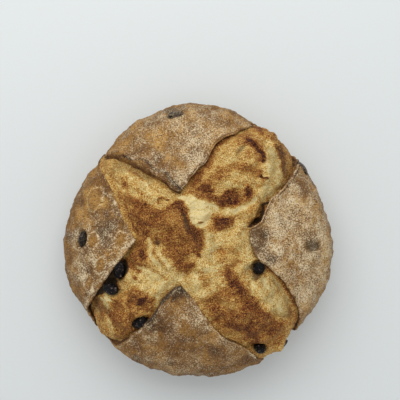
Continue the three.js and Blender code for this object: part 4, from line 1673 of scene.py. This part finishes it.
# Places in the crust that a raisin darkened, and painted shade in the groove along the south flap's
# tip and, in part, on the east flap's tip
CRUST_STAINS_AND_SHADE = (
    Patch(0.32, 3, ((80, 8), (91, 10), (95, 2), (93, -13), (83, -9), (79, -1))),
    Patch(1.2, 1.4, HIDDEN_RAISIN),
    # grey on the east flap's tip, in part painted shade by the crevice
    Patch(0.5, 4, ((40, 13), (49, 16), (52, 12), (51, 4), (57, -10), (54, -16), (44, -5), (40, 4))),
    Patch(0.8, 2, ((-28, 108), (-13, 108), (-13, 99), (-26, 99))),
    Patch(0.65, 2, ((-97, 13), (-90, 12), (-88, 2), (-90, -6), (-96, -5))),
    Patch(0.5, 3, ((-80, 14), (-70, 16), (-67, -2), (-76, -4))),
    Patch(0.45, 2.5, ((-97, -11), (-90, -12), (-87, -31), (-94, -34))),
    Patch(0.16, 1.6, ((-23, -41), (-15, -33), (-6, -42), (-11, -46), (-19, -47))),
    # painted shade in the groove along the south flap's tip
    Patch(0.85, 0.8, SOUTH_TIP_EDGE, 1.4),
    Patch(0.4, 2, ((49, -5), (60, -7), (60, -18), (52, -15))),
    Patch(0.35, 2.5, ((-39, -60), (-28, -52), (-25, -60), (-36, -66))),
    Patch(0.3, 3, ((79, 62), (93, 60), (93, 48), (81, 51))),
)


# The loaf's pieces


@dataclass
class TornBloom:
    """The dough that tore open along the cross: pillows, ridges and valleys between the flaps."""

    # Samples along each side of a flap, and rows from the middle of an arm to its edge
    steps: int = 196
    rows: int = 50
    # The swelling between the edges, the gap along them, and the skirt tucked under the crust
    swell: float = 2.5
    swell_run: float = 11.0
    gap_run: float = 5.5
    tuck: tuple[Place, ...] = ((1.2, 1.6), (3.0, 4.0))
    root: tuple[float, float, float] = (0.0, 0.0, 24.0)
    # The torn relief: crests that are pulled about, creases, knobs and toasted rises
    tearing: Noise = Noise(2.6, 9.0, 2, 3)
    crest_size: float = 7.5
    crest_seed: int = 21
    crest_sizes: int = 3
    crest_level: float = 0.55
    crest_rise: Place = (1.5, 2.0)
    crest_heights: Place = (64.0, 44.0)
    crags: PlaneWaves = PlaneWaves(11, 12, 13.0, 34.0, 0.42, True)
    knobs: Noise = Noise(0.5, 3.4, 41, 3)
    ground_tone: float = 0.42
    toast_rise: float = 2.4
    # The share of the relief that the sides keep, and the heights where it falls to that
    side_relief: float = 0.3
    side_heights: Place = (40.0, 66.0)
    # How far painted edges wander, and the unevenness of the tone
    wander: Noise = Noise(1.0, 8.0, 52, 3)
    fray: Noise = Noise(0.6, 2.8, 56, 3)
    crest_tone: float = 0.18
    tone_noise: Noise = Noise(0.07, 4.0, 61, 2)
    tone_range: Place = (-0.15, 1.15)
    lumps: tuple[Spot, ...] = BLOOM_LUMPS
    clefts: tuple[Spot, ...] = BLOOM_CLEFTS
    tones: tuple[Patch, ...] = BLOOM_TONES
    stains_and_shade: tuple[Patch, ...] = BLOOM_STAINS_AND_SHADE

    def crests(self, torn: Array) -> Array:
        """The torn crests at points that are pulled about: below 0 in valleys, above on top."""
        crests = ridges(torn, self.crest_size, self.crest_seed, self.crest_sizes)
        return crests - self.crest_level

    def rises(self, points: Array, line: CutLine) -> Array:
        """The relief of the bloom.

        Args:
            points: points of the dough in mm.
            line: the edge of the cut.

        Returns:
            The rise in mm at each point.
        """
        away, number = line.nearest(points)
        open_share = 1.0 - np.exp(-away / self.gap_run)
        swell = self.swell * (1.0 - np.exp(-((away / self.swell_run) ** 2)))
        sink = line.gap[number] * np.exp(-((away / self.gap_run) ** 2))
        torn = self.tearing.moved(points)
        toast = laid_over(self.wander.moved(points), self.tones, self.ground_tone)
        rough = self.crest_rise[0] + self.crest_rise[1] * lowness(points, *self.crest_heights)
        fine = rough * self.crests(torn) + self.knobs.at(torn)
        fine += self.toast_rise * (toast - self.ground_tone)
        lumps = mounds(points, self.lumps) + self.crags.rises(points) + fine
        height = smoothstep(points[:, 2], *self.side_heights)
        tamed = self.side_relief + (1.0 - self.side_relief) * height
        rise = (swell + lumps * open_share) * tamed - sink
        rise = rise + SOCKETS.rises(points, True) + mounds(points, self.clefts)
        return (rise + DOUGH.unevenness(points)) * clear_of_base(points)

    def build(self) -> bpy.types.Object:
        """Models and paints the bloom.

        Returns:
            The piece.
        """
        line = CUT.line(self.steps)
        share = np.linspace(0.0, 1.0, self.rows + 1)[:, None, None]
        spots = line.middle + (line.edge - line.middle) * share
        flat = spots.reshape(-1, 2)
        surface = DOUGH.points(flat)
        rise = self.rises(surface, line)
        raised = (surface + DOUGH.normals(flat) * rise[:, None]).reshape(*spots.shape[:2], 3)
        skirts = []
        for reach, drop in self.tuck:
            spot = line.edge + line.outward * reach
            skirts.append(DOUGH.points(spot) - DOUGH.normals(spot) * (line.gap + drop)[:, None])
        root = np.broadcast_to(np.array(self.root), line.surface.shape)
        piece = wrapped("torn_bloom", np.concatenate([raised, np.stack([*skirts, root])]), {})
        self.dress(piece)
        return piece

    def dress(self, piece: bpy.types.Object) -> None:
        """Paints the tones, the raisin marks and the painted shade, and gives the piece its finish.

        Args:
            piece: the bloom.
        """
        points = places_of(piece)
        frayed = self.fray.moved(self.wander.moved(points))
        tone = laid_over(frayed, self.tones, self.ground_tone)
        tone += self.crest_tone * self.crests(self.tearing.moved(points))
        tone += self.tone_noise.at(points)
        paint(piece, "tone", np.clip(tone, *self.tone_range))
        # Raisin marks, and painted shade in crevices, recesses and valleys
        paint(piece, "stain_and_shade", laid_over(frayed, self.stains_and_shade, 0.0))
        piece.data.materials.append(TornCrumb().material())


@dataclass(frozen=True)
class LipForm:
    """The rolled lip of a flap, its underside or cut face, and the wall of the recess."""

    # Radius of the rolled edge, as a share of the step's height, and its limits
    nose_share: float = 0.3
    nose_range: Place = (0.25, 1.3)
    # How the skin turns over the edge, in degrees over the level, and where the cut starts
    nose_angles: tuple[float, ...] = (62.0, 30.0, 0.0, -35.0, -70.0)
    skin_angle: float = 20.0
    # Slopes from which the cut face runs out under the lip, and its share before the lip
    sloped_from: Place = (0.3, 1.5)
    nose_slide: float = 0.4
    # How far the wall lies back under the lip, and its steps inwards and down
    undercut: float = 2.6
    wall: tuple[Place, ...] = ((0.45, 0.35), (0.8, 0.75), (1.0, 1.1))
    wall_drop: float = 1.2
    recess_drop: float = 7.0

    def offsets(self, line: CutLine, top: Array) -> tuple[list[tuple[Array, Array]], list[float]]:
        """Lays out the lip's profile.

        Args:
            line: the edge of the cut.
            top: how far the lip's top stands over the dough.

        Returns:
            For each row of points, how far they lie towards the bloom and up, and for each row
            whether it lies on the cut face.
        """
        nose = np.clip(self.nose_share * (line.lip + line.gap), *self.nose_range)
        sloped = smoothstep(line.face, *self.sloped_from)
        first, last = self.nose_angles[0], self.nose_angles[-1]
        offsets = []
        for angle in self.nose_angles:
            turn = math.radians(angle)
            slide = sloped * (first - angle) / (first - last) * line.face * self.nose_slide
            offsets.append((math.cos(turn) * nose + slide, top - nose * (1.0 - math.sin(turn))))
        faces = [float(angle <= self.skin_angle) for angle in self.nose_angles]
        for share, depth in self.wall:
            slid = line.face * (self.nose_slide + (1.0 - self.nose_slide) * share) * sloped
            up = (top - 2.0 * nose) * (1.0 - depth) - (line.gap + self.wall_drop) * depth
            offsets.append((slid - self.undercut * share * (1.0 - sloped), up))
            faces.append(1.0)
        offsets.append((np.full_like(nose, -self.undercut), -line.gap - self.recess_drop))
        return offsets, [*faces, 1.0]


@dataclass(frozen=True)
class BlisterLook:
    """How a blister of the skin stands up and shows."""

    # Its height in mm, and how far its outline wanders
    rise: float = 1.3
    drift: Noise = Noise(0.6, 4.0, 98, 3)
    # The floured ring round it, its place and half width as shares of the half size
    ring_reach: float = 1.12
    ring_width: float = 0.11
    ring_flour: float = 1.1
    ring_pale: float = 0.3
    # Tone of its middle, and how much darker its outline is
    tone: float = 0.37
    rim_tone: float = 0.2

    def rises(self, points: Array, blisters: tuple[Spot, ...]) -> Array:
        """The rise in mm that blisters give to points of the dough."""
        swells = (b.value * np.exp(-(b.distance(points) ** 4)) for b in blisters)
        return self.rise * sum(swells)

    def over(self, points: Array, blister: Spot, tone: Array, flour: Array) -> tuple[Array, Array]:
        """Lays a blister over the crust's tone and flour.

        Args:
            points: points in mm.
            blister: the blister.
            tone: the crust's tone at the points.
            flour: its flour there.

        Returns:
            The new tone and flour.
        """
        reach = blister.distance(self.drift.moved(points))
        inside = blister.value * np.exp(-(reach**8))
        ring = blister.value * np.exp(-(((reach - self.ring_reach) / self.ring_width) ** 2))
        flour = flour * (1.0 - inside) + self.ring_flour * ring
        golden = self.tone + self.rim_tone * reach**2
        return tone * (1.0 - inside) + inside * golden - self.ring_pale * ring, flour


@dataclass
class Crust:
    """The floured crust: four flaps with their lips, the sides, the base and the recess."""

    # Samples along each side of a flap, rows from the cut to the base's rim, and rings inside it
    steps: int = 118
    rows: int = 74
    crowding: float = 1.25
    base_rows: int = 5
    root: tuple[float, float, float] = (0.0, 0.0, 12.0)
    lip: LipForm = LipForm()
    lip_run: float = 9.0
    # How far the skin stays back from the cut, and the nicks of its edge
    edge_gap: float = 0.3
    edge_nicks: Noise = Noise(0.35, 5.0, 81, 2)
    top_nicks: Noise = Noise(0.25, 5.0, 82, 2)
    # The skin's relief, and the share of a socket's relief that shows through it
    waves: PlaneWaves = PlaneWaves(5, 8, 34.0, 90.0, 0.22, False)
    wrinkles: Noise = Noise(0.45, 8.0, 71, 3)
    pimples: Noise = Noise(0.2, 3.0, 73, 2)
    skin_socket: float = 0.7
    # How far painted edges wander, and the tone and flour where no patch lies
    drift: Noise = Noise(1.8, 9.0, 91, 3)
    ground_tone: float = 0.52
    tone_noise: Noise = Noise(0.15, 9.0, 95, 3)
    low_tone: float = 0.08
    low_heights: Place = (34.0, 6.0)
    ground_flour: float = 0.3
    flour_noises: tuple[Noise, ...] = (Noise(0.28, 6.0, 96, 3), Noise(0.14, 3.2, 94, 2))
    low_flour: float = 0.1
    side_heights: Place = (68.0, 40.0)
    # The cut faces: their tone, and the share of the flour that they lack
    face_tone: float = 0.72
    face_noise: Noise = Noise(0.2, 5.0, 97, 2)
    face_bare: float = 0.9
    # The lips: how far flour reaches in, and the heights between which they catch it
    lip_reach: float = 1.3
    lip_steps: Place = (0.2, 0.9)
    lip_noise: Noise = Noise(0.7, 6.0, 99, 2)
    lip_flour: float = 0.6
    lip_toast: float = 0.4
    tone_range: Place = (0.0, 1.1)
    flour_range: Place = (0.0, 1.4)
    blister: BlisterLook = BlisterLook()
    lumps: tuple[Spot, ...] = CRUST_LUMPS
    blisters: tuple[Spot, ...] = CRUST_BLISTERS
    tones: tuple[Patch, ...] = CRUST_TONES
    flour: tuple[Patch, ...] = CRUST_FLOUR
    stains_and_shade: tuple[Patch, ...] = CRUST_STAINS_AND_SHADE

    def rises(self, points: Array, line: CutLine) -> Array:
        """The relief of the crust.

        Args:
            points: points of the dough in mm.
            line: the edge of the cut.

        Returns:
            The rise in mm at each point.
        """
        away, number = line.nearest(points)
        lips = line.lip[number] * np.exp(-away / self.lip_run)
        rise = lips + mounds(points, self.lumps) + self.waves.rises(points)
        rise += DOUGH.unevenness(points) + self.wrinkles.at(points) + self.pimples.at(points)
        rise += self.blister.rises(points, self.blisters)
        rise += self.skin_socket * SOCKETS.rises(points, False)
        return rise * clear_of_base(points)

    def build(self) -> bpy.types.Object:
        """Models and paints the crust.

        Returns:
            The piece.
        """
        line = CUT.line(self.steps)
        back = self.edge_gap + self.edge_nicks.at(line.surface)
        edge = line.edge + line.outward * back[:, None]
        foot = DOUGH.foot_colatitude
        rim, *rings = (
            unrolled(np.stack([line.foot, np.full_like(line.foot, colatitude)], axis=-1))
            for colatitude in np.linspace(foot, 180.0, self.base_rows + 1)
        )
        share = (np.linspace(0.0, 1.0, self.rows + 1) ** self.crowding)[:, None, None]
        spots = edge + (rim - edge) * share
        flat = spots.reshape(-1, 2)
        surface = DOUGH.points(flat)
        rise = self.rises(surface, line)
        raised = (surface + DOUGH.normals(flat) * rise[:, None]).reshape(*spots.shape[:2], 3)
        normals = DOUGH.normals(edge)
        inward = unit(around(-DOUGH.slopes(edge, line.outward), 2))
        top = rise[: len(edge)] + self.top_nicks.at(line.surface)
        offsets, faces = self.lip.offsets(line, top)
        brink = DOUGH.points(edge)
        wall = [brink + inward * x[:, None] + normals * z[:, None] for x, z in offsets]
        wall.append(np.broadcast_to(np.array(self.root), brink.shape))
        faces.append(1.0)
        base = [DOUGH.points(ring) for ring in rings]
        rows = np.concatenate([np.stack(wall[::-1]), raised, np.stack(base)])
        cut = np.zeros(rows.shape[:2])
        cut[: len(faces)] = np.array(faces[::-1])[:, None]
        walked = np.linalg.norm(np.diff(raised, axis=0), axis=2).cumsum(axis=0)
        lip_edge = np.zeros(rows.shape[:2])
        lip_edge[len(faces)] = 1.0
        lip_edge[len(faces) + 1 :][: self.rows] = np.exp(-((walked / self.lip_reach) ** 2))
        lip_edge *= smoothstep(line.lip, *self.lip_steps) * line.dusted
        piece = wrapped("floured_crust", rows, {"cut_face": cut, "lip_edge": lip_edge})
        self.dress(piece)
        return piece

    def dress(self, piece: bpy.types.Object) -> None:
        """Paints the tones, flour, raisin marks and painted shade, and gives the piece its finish.

        Args:
            piece: the crust, with the attributes cut_face and lip_edge.
        """
        points = places_of(piece)
        drift = self.drift.moved(points)
        low = lowness(points, *self.low_heights)
        tone = laid_over(drift, self.tones, self.ground_tone)
        tone += self.tone_noise.at(points) + self.low_tone * low
        flour = laid_over(drift, self.flour, self.ground_flour) - self.low_flour * low
        flour += sum(noise.at(points) for noise in self.flour_noises)
        for blister in self.blisters:
            tone, flour = self.blister.over(points, blister, tone, flour)
        cut = painting(piece, "cut_face")
        tone = tone * (1.0 - cut) + cut * (self.face_tone + self.face_noise.at(points))
        lip = painting(piece, "lip_edge") * (1.0 + self.lip_noise.at(points))
        tone += self.lip_toast * np.clip(-lip, 0.0, 1.0)
        flour = (flour + self.lip_flour * lip) * (1.0 - self.face_bare * cut)
        paint(piece, "tone", np.clip(tone, *self.tone_range))
        paint(piece, "flour", np.clip(flour, *self.flour_range))
        # Raisin marks, and painted shade in the groove and on the east flap's tip
        paint(piece, "stain_and_shade", laid_over(drift, self.stains_and_shade, 0.0))
        paint(piece, "side", lowness(points, *self.side_heights))
        piece.data.materials.append(FlouredCrust().material())


@dataclass
class RaisinSet:
    """The raisins that show, each a wrinkled piece in its socket."""

    subdivisions: int = 5
    # Folds and dents, as shares of the raisin's half size
    fold_depth: float = 0.16
    fold_spread: float = 4.0
    fold_size: float = 2.4
    fold_seed: int = 101
    dents: Noise = Noise(0.09, 1.1, 107)
    seed_step: float = 7.0

    def build(self) -> list[bpy.types.Object]:
        """Models all the raisins."""
        finish = RaisinSkin().material()
        return [self.raisin(i, raisin, finish) for i, raisin in enumerate(RAISINS, 1)]

    def raisin(self, number: int, raisin: Raisin, finish: bpy.types.Material) -> bpy.types.Object:
        """Models one raisin in the place of its solid.

        Args:
            number: which node it stands for.
            raisin: its size and how it lies.
            finish: its material.

        Returns:
            The piece.
        """
        low, high = (np.array(corner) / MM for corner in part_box(f"raisin_{number}"))
        bpy.ops.mesh.primitive_ico_sphere_add(subdivisions=self.subdivisions, radius=1.0)
        piece = bpy.context.active_object
        piece.name = f"wrinkled_raisin_{number}"
        piece.data.name = piece.name
        _, *directions = raisin.spot().frame()
        ball = places_of(piece) * MM
        moved = self.seed_step * number
        folds = ridges(ball * self.fold_spread + moved, self.fold_size, self.fold_seed)
        shrunk = 1.0 - self.fold_depth * folds + self.dents.at(ball + moved)
        shape = ball * shrunk[:, None] * np.array(raisin.half)
        placed = (low + high) / 2.0 + shape @ np.stack(directions)
        place(piece, placed)
        smoothed(piece)
        paint(piece, "flour", np.full(len(placed), raisin.dust))
        piece.data.materials.append(finish)
        return piece


@dataclass
class Studio:
    """A pale floor, soft light from beyond the frame's top, and a camera straight above."""

    floor_metres: float = 4.0
    # Where the loaf's middle stands in the frame, and what a pixel spans at the loaf, in mm
    loaf_pixel: Place = (197.5, 241.8)
    frame_pixels: float = 400.0
    pixel: float = 0.83
    camera_height: float = 702.0
    lens: float = 72.0
    sensor: float = 36.0
    near_metres: float = 0.01
    # The soft key light: its place and size in metres, turn about X and Y, and watts
    key_metres: tuple[float, float, float] = (-0.1, 0.62, 0.85)
    key_size: Place = (1.1, 0.8)
    key_turn: Place = (-36.0, -7.0)
    key_energy: float = 5.2
    room_light: str = "#f4f6f8"
    room_strength: float = 0.64

    def floor(self) -> None:
        """Lays the floor."""
        bpy.ops.mesh.primitive_plane_add(size=self.floor_metres)
        floor = bpy.context.active_object
        floor.name = "floor"
        floor.data.materials.append(PaleFloor().material())

    def lights(self) -> None:
        """Hangs the soft key light beyond the top of the frame, and lights the room evenly."""
        bpy.ops.object.light_add(type="AREA", location=self.key_metres)
        key = bpy.context.active_object
        key.name = "key_softbox"
        key.data.shape = "RECTANGLE"
        key.data.size, key.data.size_y = self.key_size
        key.data.energy = self.key_energy
        key.rotation_euler = (*(math.radians(turn) for turn in self.key_turn), 0.0)
        world = bpy.data.worlds.new("even_room_light")
        world.use_nodes = True
        background = world.node_tree.nodes["Background"]
        background.inputs["Color"].default_value = linear(self.room_light)
        background.inputs["Strength"].default_value = self.room_strength
        bpy.context.scene.world = world

    def camera(self) -> None:
        """Places the camera so that the loaf stands where it does in the frame."""
        middle = self.frame_pixels / 2.0
        x = (middle - self.loaf_pixel[0]) * self.pixel + DOUGH.shift[0]
        y = (self.loaf_pixel[1] - middle) * self.pixel + DOUGH.shift[1]
        place_above = (x * MM, y * MM, self.camera_height * MM)
        bpy.ops.object.camera_add(location=place_above, rotation=(0.0, 0.0, 0.0))
        camera = bpy.context.active_object
        camera.data.lens = self.lens
        camera.data.sensor_width = self.sensor
        camera.data.clip_start = self.near_metres
        bpy.context.scene.camera = camera

    def build(self) -> None:
        """Sets up the floor, the lights and the camera."""
        bpy.context.scene.view_settings.view_transform = "Standard"
        self.floor()
        self.lights()
        self.camera()


def main() -> None:
    """Builds the loaf and its studio."""
    logging.basicConfig(level=logging.INFO, format="%(name)s: %(message)s")
    bpy.ops.object.select_all(action="DESELECT")
    bloom = TornBloom().build()
    crust = Crust().build()
    raisins = RaisinSet().build()
    for piece in (bloom, crust):
        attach(piece, "root")
        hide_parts("loaf")
    for number, piece in enumerate(raisins):
        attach(piece, "root")
        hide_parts(f"raisin_{number + 1}")
    for piece in (bloom, crust, *raisins):
        log.info("%s: %d faces", piece.name, len(piece.data.polygons))
    Studio().build()


if __name__ == "__main__":
    main()
